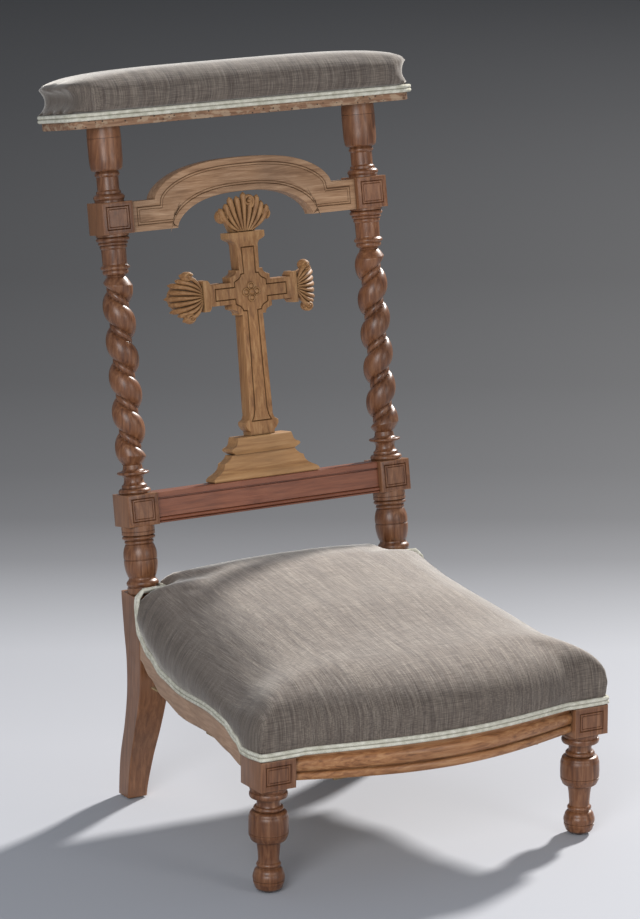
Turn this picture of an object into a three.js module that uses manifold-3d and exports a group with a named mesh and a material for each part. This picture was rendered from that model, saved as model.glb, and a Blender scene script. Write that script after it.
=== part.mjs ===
// A prie-dieu (low kneeling chair) in turned walnut with an upholstered seat and arm rest.
// Millimetres, +Z up, the front of the chair faces -Y. The origin is the centre of its footprint.
import * as THREE from "three";
import { mergeVertices } from "three/addons/utils/BufferGeometryUtils.js";
import Module from "manifold-3d";

const wasm = await Module();
wasm.setup();

// ---- driving dimensions ----
const GAP = 0.3; // clearance between touching pieces
const ROUND_SIDES = 16;

// back posts: heights along the raked stick are measured from the shoulder at seat height
const RAKE = THREE.MathUtils.degToRad(9.72);
const POST = { x: 184.4, y: 130.1, shoulder: 271.85, half: 21.75, top: 591.6 };
const LOWER_BLOCK = { bottom: 85.9, top: 126.7 };
const UPPER_BLOCK = { bottom: 456.5, top: 497.3 };
const TWIST = { start: 163, end: 402.9, pitch: 45, crest: 20, groove: 11.8, ends: 26 };
const TENON = { length: 16, thickness: 10, shoulder: 6 };
const ROOT = 2; // a tenon or a turning runs this far into the body it belongs to
const SPIGOT = { radius: 10, length: 14 };

// front legs and their square blocks
const LEG = { x: 221.6, y: -268.3, halfX: 24.2, halfY: 26.1, blockBottom: 133.75, blockTop: 171.5 };
const GLIDE = { radius: 7, height: 2 };

// seat frame
const FRONT_RAIL = { bottom: 140, top: 171.5, rise: 5, thickness: 24, setBack: 8, bow: 42, tenonBottom: 147,
  tenonTop: 166 };
const SIDE_RAIL = { thickness: 22, frontX: 245.8, rearX: 206.2, rearY: 97.5 };
const SIDE_TENON = { front: [156, 169], rear: [197, 215] }; // heights of the two tenons of a side rail
const BACK_RAIL = { bottom: 184, top: 228, thickness: 22, y: 119, half: 162.3, postFace: 165, shoulder: 8 };
const BRACE = { leg: 62, thickness: 22, bottom: 144, top: 168, offRail: 5 };
const WEB = { width: 50, thickness: 2, lengthwise: [-120, -42, 42, 120], crosswise: [-145, -50, 45] };
const HESSIAN = 1;

// upholstery
const CORD = { height: 10, depth: 5 }; // the double welt
const SEAT = { crown: 30, frontCorner: 243, frontMiddle: 252, rear: 276, rearY: 139 };
const REST = { length: 487, front: 46, back: 70, corner: 26, board: 20, bareEdge: 10, crown: 46 };

// back: rails and cross
const LOWER_RAIL = { bottom: 86.2, top: 126.4, front: -15.2, thickness: 24 };
const ARCH = { bottom: 456.5, shoulder: 495.5, crown: 538.5, under: 495, flat: 128, foot: 98, front: -15.5,
  thickness: 24 };
const CROSS = { centre: 365.5, front: -12, thickness: 22, shaft: 15, foot: 181, head: 442.5 };
const PIN = { foot: 6, head: 5, arm: 4, length: 12 }; // radii of the pins that join the cross, and their reach

// ---- solids ----
function solid(geometry) {
  const bare = geometry.index ? geometry.toNonIndexed() : geometry.clone();
  for (const name of Object.keys(bare.attributes)) {
    if (name !== "position") bare.deleteAttribute(name);
  }
  const merged = mergeVertices(bare, 1e-3);
  return new wasm.Manifold(
    new wasm.Mesh({
      numProp: 3,
      vertProperties: merged.attributes.position.array,
      triVerts: new Uint32Array(merged.index.array),
    }),
  );
}

function geometryOf(body) {
  const mesh = body.getMesh();
  const geometry = new THREE.BufferGeometry();
  geometry.setAttribute("position", new THREE.BufferAttribute(mesh.vertProperties, 3));
  geometry.setIndex(new THREE.BufferAttribute(mesh.triVerts, 1));
  geometry.computeVertexNormals();
  return geometry;
}

// A box between two opposite corners.
function box(x0, y0, z0, x1, y1, z1) {
  const geometry = new THREE.BoxGeometry(x1 - x0, y1 - y0, z1 - z0);
  return solid(geometry.translate((x0 + x1) / 2, (y0 + y1) / 2, (z0 + z1) / 2));
}

// A cylinder along "x", "y" or "z" between two places on that axis.
function rod(axis, radius, from, to, a = 0, b = 0) {
  const geometry = new THREE.CylinderGeometry(radius, radius, to - from, ROUND_SIDES);
  const middle = (from + to) / 2;
  if (axis === "x") geometry.rotateZ(-Math.PI / 2).translate(middle, a, b);
  if (axis === "y") geometry.translate(a, middle, b);
  if (axis === "z") geometry.rotateX(Math.PI / 2).translate(a, b, middle);
  return solid(geometry);
}

// A turned piece: its profile is a list of [radius, height].
function turned(profile) {
  const points = [[0, profile[0][1]], ...profile, [0, profile.at(-1)[1]]];
  const outline = points.map(([r, z]) => new THREE.Vector2(r, z));
  return solid(new THREE.LatheGeometry(outline, ROUND_SIDES).rotateX(Math.PI / 2));
}

// A plate with its outline in X and Z, from y0 (front) to y1 (back).
function plate(outline, y0, y1) {
  const shape = new THREE.Shape(outline.map(([x, z]) => new THREE.Vector2(x, z)));
  const geometry = new THREE.ExtrudeGeometry(shape, { depth: y1 - y0, bevelEnabled: false });
  return solid(geometry.rotateX(Math.PI / 2).translate(0, y1, 0));
}

// A plate with its outline in X and Y, from z0 to z1.
function slab(outline, z0, z1) {
  const shape = new THREE.Shape(outline.map(([x, y]) => new THREE.Vector2(x, y)));
  const geometry = new THREE.ExtrudeGeometry(shape, { depth: z1 - z0, bevelEnabled: false });
  return solid(geometry.translate(0, 0, z0));
}

// A solid skinned over rings of equal length: a cap closes each end, or the rings close on themselves.
// Its faces point outwards whichever way the rings run.
function skin(rings, closed = false) {
  const count = rings[0].length;
  const vertices = rings.flat();
  const triangles = [];
  const last = closed ? rings.length : rings.length - 1;
  for (let i = 0; i < last; i++) {
    const next = (i + 1) % rings.length;
    for (let j = 0; j < count; j++) {
      const k = (j + 1) % count;
      triangles.push(i * count + j, i * count + k, next * count + k);
      triangles.push(i * count + j, next * count + k, next * count + j);
    }
  }
  if (!closed) {
    for (const [first, flip] of [[0, true], [(rings.length - 1) * count, false]]) {
      const ring = vertices.slice(first, first + count);
      const middle = ring.reduce((sum, p) => sum.map((v, i) => v + p[i] / count), [0, 0, 0]);
      vertices.push(middle);
      for (let j = 0; j < count; j++) {
        const [a, b] = [first + j, first + ((j + 1) % count)];
        triangles.push(...(flip ? [b, a, vertices.length - 1] : [a, b, vertices.length - 1]));
      }
    }
  }
  const made = (corners) =>
    new wasm.Manifold(
      new wasm.Mesh({
        numProp: 3,
        vertProperties: new Float32Array(vertices.flat()),
        triVerts: new Uint32Array(corners),
      }),
    );
  const body = made(triangles);
  return body.volume() > 0 ? body : made(triangles.reverse());
}

const mirrored = (outline) => [...outline, ...outline.map(([x, z]) => [-x, z]).reverse()];
const between = (a, b, t) => a + (b - a) * t;

// Values between the [place, value] pairs of a table, eased at each pair.
function eased(table, place) {
  if (place <= table[0][0]) return table[0][1];
  for (let i = 1; i < table.length; i++) {
    const [x0, v0] = table[i - 1];
    const [x1, v1] = table[i];
    if (place <= x1) {
      const t = (place - x0) / (x1 - x0);
      return between(v0, v1, t * t * (3 - 2 * t));
    }
  }
  return table.at(-1)[1];
}

// ---- materials and nodes ----
const FINISHES = {
  walnut: { color: 0x7d5037, roughness: 0.4 },
  dryWalnut: { color: 0xa5825f, roughness: 0.75 },
  linen: { color: 0x787068, roughness: 0.95 },
  cord: { color: 0xd8d6c6, roughness: 0.9 },
  beech: { color: 0xb98d66, roughness: 0.85 },
  jute: { color: 0x9c7f52, roughness: 0.95 },
  iron: { color: 0x2c2a29, roughness: 0.5, metalness: 0.8 },
};

const chair = new THREE.Group();
const back = new THREE.Group(); // leans with the posts: its Z runs up the stick from the shoulder
back.position.set(0, POST.y, POST.shoulder);
back.rotation.x = -RAKE;
chair.add(back);

function node(name, body, finish, parent = chair) {
  const mesh = new THREE.Mesh(geometryOf(body), new THREE.MeshStandardMaterial(FINISHES[finish]));
  mesh.name = name;
  parent.add(mesh);
  return mesh;
}

const SIDES = [["left", -1], ["right", 1]];

// A place on the raked stick, given in the chair's own frame.
function onStick(x, off, t) {
  return [
    x,
    POST.y + t * Math.sin(RAKE) + off * Math.cos(RAKE),
    POST.shoulder + t * Math.cos(RAKE) - off * Math.sin(RAKE),
  ];
}

// ---- back posts, each one stick with its rear leg ----
function twist(hand) {
  const steps = 36;
  const around = 12;
  const middle = (TWIST.crest + TWIST.groove) / 2;
  const swing = (TWIST.crest - TWIST.groove) / 2;
  const rings = [];
  for (let i = 0; i <= steps; i++) {
    const t = between(TWIST.start, TWIST.end, i / steps);
    const fade = Math.min(1, (t - TWIST.start) / TWIST.ends, (TWIST.end - t) / TWIST.ends);
    const ring = [];
    for (let j = 0; j < around; j++) {
      const angle = (2 * Math.PI * j) / around;
      const phase = angle - (hand * 2 * Math.PI * t) / TWIST.pitch;
      const r = TWIST.groove + fade * (middle - TWIST.groove + swing * Math.cos(phase));
      ring.push([r * Math.cos(angle), r * Math.sin(angle), t]);
    }
    rings.push(ring);
  }
  return skin(rings);
}

const BELOW_BLOCK = [
  [20, -0.5], [20, 7], [20.6, 12], [17.6, 20], [20.4, 32], [21.5, 46.6], [20.7, 55], [18.2, 64],
  [21.2, 69], [21.2, 82], [21.2, LOWER_BLOCK.bottom + 1],
];
const ABOVE_BLOCK = [
  [20.4, LOWER_BLOCK.top - 1], [20.4, 132], [12.4, 143.6], [20.4, 151.5], [20.4, 154.5], [12.4, 161],
  [TWIST.groove, TWIST.start + 0.5],
];
const BELOW_UPPER = [
  [TWIST.groove, TWIST.end - 0.5], [16.6, 408.3], [19.6, 413.8], [15.9, 421], [15.9, 437], [19.3, 444.5],
  [21.7, 450], [21.7, UPPER_BLOCK.bottom + 1],
];
const CUP = [
  [19, UPPER_BLOCK.top - 1], [19.9, 503.4], [14, 512], [14, 528.8], [17.5, 536.6], [21, 544], [21.7, 578],
  [21, POST.top],
];

function post(hand) {
  const h = POST.half;
  let body = twist(hand);
  for (const profile of [BELOW_BLOCK, ABOVE_BLOCK, BELOW_UPPER, CUP]) body = body.add(turned(profile));
  body = body.add(rod("z", SPIGOT.radius, POST.top - 1, POST.top + SPIGOT.length));
  for (const block of [LOWER_BLOCK, UPPER_BLOCK]) {
    body = body.add(box(-h, -h, block.bottom, h, h, block.top));
    // mortise for the rail between the posts, open towards the middle of the chair
    const mouth = hand * (h + ROOT);
    const end = hand * (h - TENON.length - 2 * GAP);
    const half = TENON.thickness / 2 + GAP;
    body = body.subtract(
      box(Math.min(mouth, end), -half, block.bottom + TENON.shoulder - GAP,
        Math.max(mouth, end), half, block.top - TENON.shoulder + GAP),
    );
  }
  return body;
}

// The square rear leg sweeps back below the seat and tapers to the foot: [height, front y, back y, outer x, inner x].
const REAR_LEG = [
  [POST.shoulder, 108, 151, 206.1, 162.6], [221, 100, 143.6, 206.5, 163.5], [186, 97, 136.6, 207, 165],
  [144, 97.5, 134.5, 207.8, 167.5], [99, 107.5, 139, 209.5, 171.5], [53, 118.5, 149, 211, 178],
  [GLIDE.height + GAP, 124.3, 152, 212, 184.7],
];

function rearLeg(side) {
  const rings = [...REAR_LEG].reverse().map(([z, front, rear, outer, inner]) => {
    const [x0, x1] = side < 0 ? [-outer, -inner] : [inner, outer];
    return [[x0, front, z], [x1, front, z], [x1, rear, z], [x0, rear, z]];
  });
  return skin(rings);
}

// Side rails rise in a wave from the front block to the rear post: [place 0..1, height].
const RAIL_TOP = [[0, 181], [0.13, 192], [0.27, 194], [0.57, 188.5], [0.75, 193], [0.88, 206], [1, 224]];
const RAIL_BOTTOM = [[0, 153], [0.12, 158.5], [0.29, 163.5], [0.58, 157.5], [0.78, 165], [0.9, 178], [1, 192]];
const RAIL_FRONT_Y = LEG.y + LEG.halfY;

// A rail may be grown above and beside itself, to clear room for it in the seat pad.
function sideRail(side, above = 0, beside = 0) {
  const steps = 18;
  const rings = [];
  for (let i = 0; i <= steps; i++) {
    const u = i / steps;
    const y = between(RAIL_FRONT_Y + GAP, SIDE_RAIL.rearY - GAP, u);
    const outer = between(SIDE_RAIL.frontX, SIDE_RAIL.rearX, u) + beside;
    const inner = outer - SIDE_RAIL.thickness - 1.1 * beside;
    const [x0, x1] = side < 0 ? [-outer, -inner] : [inner, outer];
    const [z0, z1] = [eased(RAIL_BOTTOM, u), eased(RAIL_TOP, u) + above];
    rings.push([[x0, y, z0], [x0, y, z1], [x1, y, z1], [x1, y, z0]]);
  }
  return skin(rings);
}

// The tenon boxes of the side rails: the front one enters the leg's block, the rear one enters the post.
function sideTenons(side, slack) {
  const half = TENON.thickness / 2 + slack;
  const frontX = side * (SIDE_RAIL.frontX - SIDE_RAIL.thickness / 2);
  const rearX = side * (SIDE_RAIL.rearX - SIDE_RAIL.thickness / 2);
  const reach = TENON.length + 2 * slack;
  return [
    box(frontX - half, RAIL_FRONT_Y - reach, SIDE_TENON.front[0] - slack,
      frontX + half, RAIL_FRONT_Y + ROOT, SIDE_TENON.front[1] + slack),
    box(rearX - half, SIDE_RAIL.rearY - ROOT, SIDE_TENON.rear[0] - slack,
      rearX + half, SIDE_RAIL.rearY + reach, SIDE_TENON.rear[1] + slack),
  ];
}

// The tenon of the back rail in the inner face of the rear post.
function backTenon(side, slack) {
  const inner = BACK_RAIL.half - ROOT;
  const end = BACK_RAIL.postFace + TENON.length + 2 * slack;
  const [x0, x1] = side < 0 ? [-end, -inner] : [inner, end];
  const half = TENON.thickness / 2 + slack;
  return box(x0, BACK_RAIL.y - half, BACK_RAIL.bottom + BACK_RAIL.shoulder - slack,
    x1, BACK_RAIL.y + half, BACK_RAIL.top - BACK_RAIL.shoulder + slack);
}

const poseOfBack = new THREE.Matrix4().makeRotationX(-RAKE).setPosition(0, POST.y, POST.shoulder);

function leaned(body, x = 0) {
  const geometry = geometryOf(body);
  geometry.translate(x, 0, 0).applyMatrix4(poseOfBack);
  return solid(geometry);
}

for (const [label, side] of SIDES) {
  // the twists mirror each other, and each mortise opens towards the other post
  let body = leaned(post(-side), side * POST.x).add(rearLeg(side));
  body = body.subtract(sideTenons(side, GAP)[1]).subtract(backTenon(side, GAP));
  node(`back_post_${label}`, body, "walnut");
}

// ---- front legs ----
const LEG_PROFILE = [
  [12, GLIDE.height + GAP], [19.3, 15], [19.3, 22], [14.8, 31], [15.2, 35.5], [13.3, 46], [15, 64],
  [23.6, 71], [24.5, 80], [24.4, 92], [20, 103], [18, 107], [14.5, 113], [14.5, 118], [23.5, 125],
  [23.5, LEG.blockBottom + 1],
];

function frontRailTenon(side, slack) {
  const start = LEG.x - LEG.halfX;
  const [x0, x1] = side < 0 ? [-start - TENON.length - 2 * slack, -start + ROOT]
    : [start - ROOT, start + TENON.length + 2 * slack];
  const y0 = LEG.y - LEG.halfY + FRONT_RAIL.setBack + (FRONT_RAIL.thickness - TENON.thickness) / 2;
  return box(x0, y0 - slack, FRONT_RAIL.tenonBottom - slack, x1, y0 + TENON.thickness + slack,
    FRONT_RAIL.tenonTop + slack);
}

for (const [label, side] of SIDES) {
  const x = side * LEG.x;
  const profile = solid(geometryOf(turned(LEG_PROFILE)).translate(x, LEG.y, 0));
  const body = box(x - LEG.halfX, LEG.y - LEG.halfY, LEG.blockBottom, x + LEG.halfX, LEG.y + LEG.halfY, LEG.blockTop)
    .add(profile)
    .subtract(sideTenons(side, GAP)[0])
    .subtract(frontRailTenon(side, GAP));
  node(`front_leg_${label}`, body, "walnut");
}

// ---- seat frame ----
// The front rail bows forward between the blocks, and its top edge rises a little in the middle.
const RAIL_HALF = LEG.x - LEG.halfX - GAP;
const bowAt = (x) => FRONT_RAIL.bow * (1 - (x / RAIL_HALF) ** 2) * (1 - 0.25 * (x / RAIL_HALF) ** 2);
const RAIL_FACE = LEG.y - LEG.halfY + FRONT_RAIL.setBack;
const frontTop = (x) => FRONT_RAIL.top + FRONT_RAIL.rise * Math.max(0, 1 - (x / RAIL_HALF) ** 2);

function frontRail() {
  const steps = 16;
  const rings = [];
  for (let i = 0; i <= steps; i++) {
    const x = between(-RAIL_HALF, RAIL_HALF, i / steps);
    const front = RAIL_FACE - bowAt(x);
    const rear = RAIL_FACE - bowAt(x) * 0.8 + FRONT_RAIL.thickness;
    rings.push([[x, front, FRONT_RAIL.bottom], [x, front, frontTop(x)], [x, rear, frontTop(x)],
      [x, rear, FRONT_RAIL.bottom]]);
  }
  let body = skin(rings);
  for (const [, side] of SIDES) body = body.add(frontRailTenon(side, 0));
  return body;
}

node("front_rail", frontRail(), "walnut");
for (const [label, side] of SIDES) {
  const [front, rear] = sideTenons(side, 0);
  node(`side_rail_${label}`, sideRail(side).add(front).add(rear), "dryWalnut");
}

function backRailBar(grow = 0) {
  const half = BACK_RAIL.thickness / 2 + grow;
  return box(-BACK_RAIL.half, BACK_RAIL.y - half, BACK_RAIL.bottom, BACK_RAIL.half, BACK_RAIL.y + half,
    BACK_RAIL.top + grow);
}

function backRail() {
  let body = backRailBar();
  for (const [, side] of SIDES) body = body.add(backTenon(side, 0));
  return body;
}
node("back_rail", backRail(), "beech");

// Triangular braces are screwed into the front corners of the frame.
for (const [label, side] of SIDES) {
  const railFace = SIDE_RAIL.frontX - SIDE_RAIL.thickness - BRACE.offRail;
  const y0 = LEG.y + LEG.halfY + GAP;
  const outline = [[railFace, y0], [railFace - 4, y0 + BRACE.leg], [railFace - BRACE.thickness, y0 + BRACE.leg],
    [railFace - BRACE.leg, y0 + BRACE.thickness], [railFace - BRACE.leg, y0]];
  const placed = outline.map(([x, y]) => [side * x, y]);
  node(`corner_brace_${label}`, slab(side > 0 ? placed : placed.reverse(), BRACE.bottom, BRACE.top), "beech");
}

// Jute webbing is nailed under the rails. Lengthwise strips slope up to the higher back rail.
const WEB_FRONT = { y: -292, z: FRONT_RAIL.bottom - 3.6 }; // low enough to clear the rail's inner bottom edge
const WEB_REAR = { y: BACK_RAIL.y + BACK_RAIL.thickness / 2, z: BACK_RAIL.bottom - GAP };
const webHeight = (y) => between(WEB_FRONT.z, WEB_REAR.z, (y - WEB_FRONT.y) / (WEB_REAR.y - WEB_FRONT.y));

function lengthwiseStrip(x) {
  const half = WEB.width / 2;
  const at = ({ y, z }) => [[x - half, y, z - WEB.thickness], [x + half, y, z - WEB.thickness],
    [x + half, y, z], [x - half, y, z]];
  return skin([at(WEB_REAR), at(WEB_FRONT)]);
}

function crosswiseStrip(y) {
  const u = (y - RAIL_FRONT_Y) / (SIDE_RAIL.rearY - RAIL_FRONT_Y);
  const half = WEB.width / 2;
  const reach = between(SIDE_RAIL.frontX, SIDE_RAIL.rearX, u) - 7;
  const low = Math.min(eased(RAIL_BOTTOM, u), eased(RAIL_BOTTOM, u - 0.08), eased(RAIL_BOTTOM, u + 0.08));
  return box(-reach, y - half, low - GAP - WEB.thickness, reach, y + half, low - GAP);
}

WEB.lengthwise.forEach((x, i) => node(`webbing_lengthwise_${i + 1}`, lengthwiseStrip(x), "jute"));
WEB.crosswise.forEach((y, i) => node(`webbing_crosswise_${i + 1}`, crosswiseStrip(y), "jute"));

// A strip of rectangular section laid along a path. Each stop has its place on the strip's inner lower edge,
// the direction "out" of its thickness and the direction "up" of its width.
function strip(stops, depth, width, closed, grow = 0) {
  const rings = stops.map(({ place, out, up }) => {
    const at = (d, w) => place.map((v, i) => v + out[i] * d + up[i] * w);
    return [at(-grow, -grow), at(-grow, width + grow), at(depth + grow, width + grow), at(depth + grow, -grow)];
  });
  return skin(rings, closed);
}

// Horizontal directions that point out of a path that runs clockwise seen from above.
function outwardOf(points, i) {
  const a = points[(i + points.length - 1) % points.length];
  const b = points[(i + 1) % points.length];
  const length = Math.hypot(b[0] - a[0], b[1] - a[1]);
  return [-(b[1] - a[1]) / length, (b[0] - a[0]) / length, 0];
}

// ---- seat pad ----
// The pad's outline, clockwise seen from above from the rear right: x, y and the height of its lower edge.
const EDGE_TOP = 0.4; // the pad rests this far above the wood
const PAD_SET_BACK = 3; // from the front face of the blocks
const RAIL_SHOWS = 3.5; // how far the front rail bows out before the pad follows it
const CORD_ROOM = 1.2; // the fabric stands this far off the welt
function padOutline() {
  const points = [];
  const sideSteps = 14;
  const frontSteps = 20;
  const rearSteps = 12;
  const frontX = SIDE_RAIL.frontX + 1;
  const rearX = SIDE_RAIL.rearX + 0.5;
  const frontY = LEG.y - LEG.halfY;
  for (let i = 0; i < sideSteps; i++) {
    const u = 1 - i / sideSteps;
    const y = between(frontY + 14, SIDE_RAIL.rearY, u);
    const railPlace = (y - RAIL_FRONT_Y) / (SIDE_RAIL.rearY - RAIL_FRONT_Y);
    points.push([between(frontX, rearX, Math.max(0, railPlace)), y, eased(RAIL_TOP, railPlace)]);
  }
  for (let i = 0; i <= frontSteps; i++) {
    const x = between(frontX - 4, -frontX + 4, i / frontSteps);
    const overBlock = Math.abs(x) > RAIL_HALF;
    const y = frontY + PAD_SET_BACK - (overBlock ? 0 : Math.max(0, bowAt(x) - RAIL_SHOWS));
    points.push([x, y, overBlock ? LEG.blockTop : frontTop(x)]);
  }
  for (let i = 1; i <= sideSteps; i++) {
    const [x, y, z] = points[sideSteps - i];
    points.push([-x, y, z]);
  }
  for (let i = 0; i <= rearSteps; i++) {
    points.push([between(-rearX + 2, rearX - 2, i / rearSteps), SEAT.rearY, BACK_RAIL.top]);
  }
  return points;
}

// Height of the crowned top over the seat.
const CROWN_ALONG = [[-330, 0], [-220, 0.42], [-80, 0.86], [50, 1], [139, 0.72]];
function topAt(x, y) {
  const across = 1 - (Math.abs(x) / 250) ** 2.2;
  const front = between(SEAT.frontCorner, SEAT.frontMiddle, across);
  const rear = eased([[-330, 0], [SEAT.rearY, SEAT.rear - SEAT.frontCorner]], y);
  const crown = SEAT.crown * eased(CROWN_ALONG, y) * Math.max(0, across);
  return front + rear + crown;
}

const PAD_RINGS = [[0, 0], [0, 0.18], [-5, 0.42], [-3, 0.66], [8, 0.86], [26, 0.96], [70, 1], [130, 1]];
function padRings(outline) {
  const centre = [0, -90];
  return PAD_RINGS.map(([inset, lift]) =>
    outline.map(([x, y, z]) => {
      const reach = Math.hypot(x - centre[0], y - centre[1]);
      const scale = 1 - inset / reach;
      const px = centre[0] + (x - centre[0]) * scale;
      const py = centre[1] + (y - centre[1]) * scale;
      return [px, py, between(z + EDGE_TOP, topAt(px, py), lift)];
    }),
  );
}

// The well inside the frame, clear of the corner braces and the rear posts.
const WELL_RIGHT = [[90, -262], [140, -246], [186, -172], [180, 88], [158, 92], [158, 105]];
const WELL = mirrored(WELL_RIGHT);
const HESSIAN_LIFT = 12;
const FILLING_LIFT = HESSIAN_LIFT + HESSIAN + GAP;

function seatPad() {
  let body = skin(padRings(padOutline().reverse()));
  // the filling drops between the rails down to the hessian
  const floor = WELL.map(([x, y]) => [x, y, webHeight(y) + FILLING_LIFT]);
  const ceiling = WELL.map(([x, y]) => [x, y, SEAT.frontCorner - 8]);
  body = body.add(skin([floor, ceiling]));
  for (const [, side] of SIDES) body = body.subtract(postNotch(side)).subtract(sideRail(side, GAP, 10 * GAP));
  body = body.subtract(backRailBar(GAP));
  // room for the turn of the welt at the foot of each post
  for (const [, side] of SIDES) {
    const [x0, x1] = side < 0 ? [-230, -SIDE_RAIL.rearX] : [SIDE_RAIL.rearX, 230];
    body = body.subtract(box(x0, 88, 220, x1, 110, 240));
  }
  return body.subtract(strip(weltStops(), CORD.depth, CORD.height, false, CORD_ROOM))
    .subtract(strip(rearWeltStops(), CORD.depth, CORD.height, false, CORD_ROOM));
}

// The room that each rear post takes out of the pad, open outwards and backwards.
function postNotch(side) {
  const slack = 0.8;
  const levels = REAR_LEG.filter(([z]) => z > 100).map(([z, front, , , inner]) => [z, front, inner]).reverse();
  const [, top, topZ] = onStick(0, -POST.half, 120);
  const rings = [...levels, [topZ, top, REAR_LEG[0][4]]].map(([z, front, inner]) => {
    const [x0, x1] = side < 0 ? [-240, -inner + slack] : [inner - slack, 240];
    return [[x0, front - slack, z], [x1, front - slack, z], [x1, 190, z], [x0, 190, z]];
  });
  return skin(rings);
}

// The welt hides the nails along the pad's lower edge, and at its ends climbs the front of each rear post.
const UP = [0, 0, 1];
const FORWARD = [0, -1, 0];
function postRise(side) {
  const x = side * (SIDE_RAIL.rearX + 1);
  const out = [side, 0, 0];
  const heights = REAR_LEG.filter(([z]) => z > 200).map(([z, front]) => [x, front - 1.2, z]);
  const rise = [{ place: [x, heights[0][1] + 0.4, POST.shoulder + 5], out, up: FORWARD }];
  rise.push({ place: [x, between(heights[0][1], heights[1][1], 0.8), 232], out, up: FORWARD });
  rise.push({ place: [x, 96.5, 226], out, up: [0, -0.75, 0.75] });
  return rise;
}

function weltStops() {
  const points = padOutline().filter(([, y]) => y < SIDE_RAIL.rearY - 4);
  const stops = points.map(([x, y, z], i) => {
    const ends = i === 0 || i === points.length - 1;
    const out = ends ? [Math.sign(x), 0, 0] : outwardOf(points, i);
    return { place: [x + out[0] * GAP, y + out[1] * GAP, z + EDGE_TOP], out, up: UP };
  });
  return [...postRise(Math.sign(points[0][0])), ...stops, ...postRise(Math.sign(points.at(-1)[0])).reverse()];
}

function rearWeltStops() {
  const half = BACK_RAIL.half - 3;
  return [-half, half].map((x) => ({
    place: [x, SEAT.rearY + GAP, BACK_RAIL.top + EDGE_TOP],
    out: [0, 1, 0],
    up: UP,
  }));
}

node("seat_pad", seatPad(), "linen");
node("seat_welt", strip(weltStops(), CORD.depth, CORD.height, false), "cord");
node("seat_welt_rear", strip(rearWeltStops(), CORD.depth, CORD.height, false), "cord");

// Hessian lies over the webbing, under the filling.
function hessian() {
  const layer = (lift) => WELL.map(([x, y]) => [x, y, webHeight(y) + lift]);
  return skin([layer(HESSIAN_LIFT), layer(HESSIAN_LIFT + HESSIAN)]);
}
node("seat_hessian", hessian(), "jute");

// ---- arm rest, square to the posts ----
function restOutline(grow, steps = 5) {
  const points = [];
  const r = REST.corner + grow;
  const [x1, y0, y1] = [REST.length / 2 + grow, -REST.front - grow, REST.back + grow];
  const corners = [[x1 - r, y0 + r, -90], [x1 - r, y1 - r, 0], [-x1 + r, y1 - r, 90], [-x1 + r, y0 + r, 180]];
  for (const [cx, cy, from] of corners) {
    for (let i = 0; i <= steps; i++) {
      const angle = THREE.MathUtils.degToRad(from + (90 * i) / steps);
      points.push([cx + r * Math.cos(angle), cy + r * Math.sin(angle)]);
    }
  }
  return points;
}

const BOARD_BOTTOM = POST.top + GAP;
const BOARD_TOP = BOARD_BOTTOM + REST.board;
let board = slab(restOutline(0), BOARD_BOTTOM, BOARD_TOP);
for (const [, side] of SIDES) {
  const hole = rod("z", SPIGOT.radius + GAP, BOARD_BOTTOM - 1, BOARD_BOTTOM + SPIGOT.length + GAP, side * POST.x);
  board = board.subtract(hole);
}
node("arm_rest_board", board, "dryWalnut", back);

const WELT_BOTTOM = BOARD_BOTTOM + REST.bareEdge;
const restPath = restOutline(GAP).reverse();
const restStops = restPath.map(([x, y], i) => ({
  place: [x, y, WELT_BOTTOM],
  out: outwardOf(restPath, i),
  up: [0, 0, 1],
}));
node("arm_rest_welt", strip(restStops, CORD.depth, CORD.height, true), "cord", back);

const REST_RINGS = [[0, 0], [-5, 0.2], [-7, 0.42], [-4, 0.64], [6, 0.84], [22, 0.96], [42, 1]];
function restPad() {
  const rings = REST_RINGS.map(([inset, lift]) =>
    restOutline(4).map(([x, y]) => {
      const px = x - Math.sign(x) * inset * Math.min(1, Math.abs(x) / 60);
      const middle = (REST.back - REST.front) / 2;
      const py = middle + (y - middle) * (1 - inset / 66);
      const ends = 1 - 0.25 * (Math.abs(px) / 245) ** 6;
      return [px, py, WELT_BOTTOM + CORD.height + GAP + 0.4 + REST.crown * lift * ends];
    }),
  );
  return skin(rings);
}
node("arm_rest_pad", restPad(), "linen", back);

// ---- rails between the posts ----
const RAIL_SPAN = POST.x - POST.half - GAP;
function tenonsOf(body, bottom, top) {
  const half = TENON.thickness / 2;
  const end = RAIL_SPAN + TENON.length;
  return body.add(box(-end, -half, bottom + TENON.shoulder, end, half, top - TENON.shoulder));
}

const CROSS_SOCKET = rod("z", PIN.foot + GAP, LOWER_RAIL.top - PIN.length - 4, LOWER_RAIL.top + 1, 0,
  CROSS.front + CROSS.thickness / 2);
const lowerRail = tenonsOf(
  box(-RAIL_SPAN, LOWER_RAIL.front, LOWER_RAIL.bottom, RAIL_SPAN, LOWER_RAIL.front + LOWER_RAIL.thickness,
    LOWER_RAIL.top),
  LOWER_BLOCK.bottom, LOWER_BLOCK.top,
).subtract(CROSS_SOCKET);
node("lower_cross_rail", lowerRail, "walnut", back);

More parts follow.
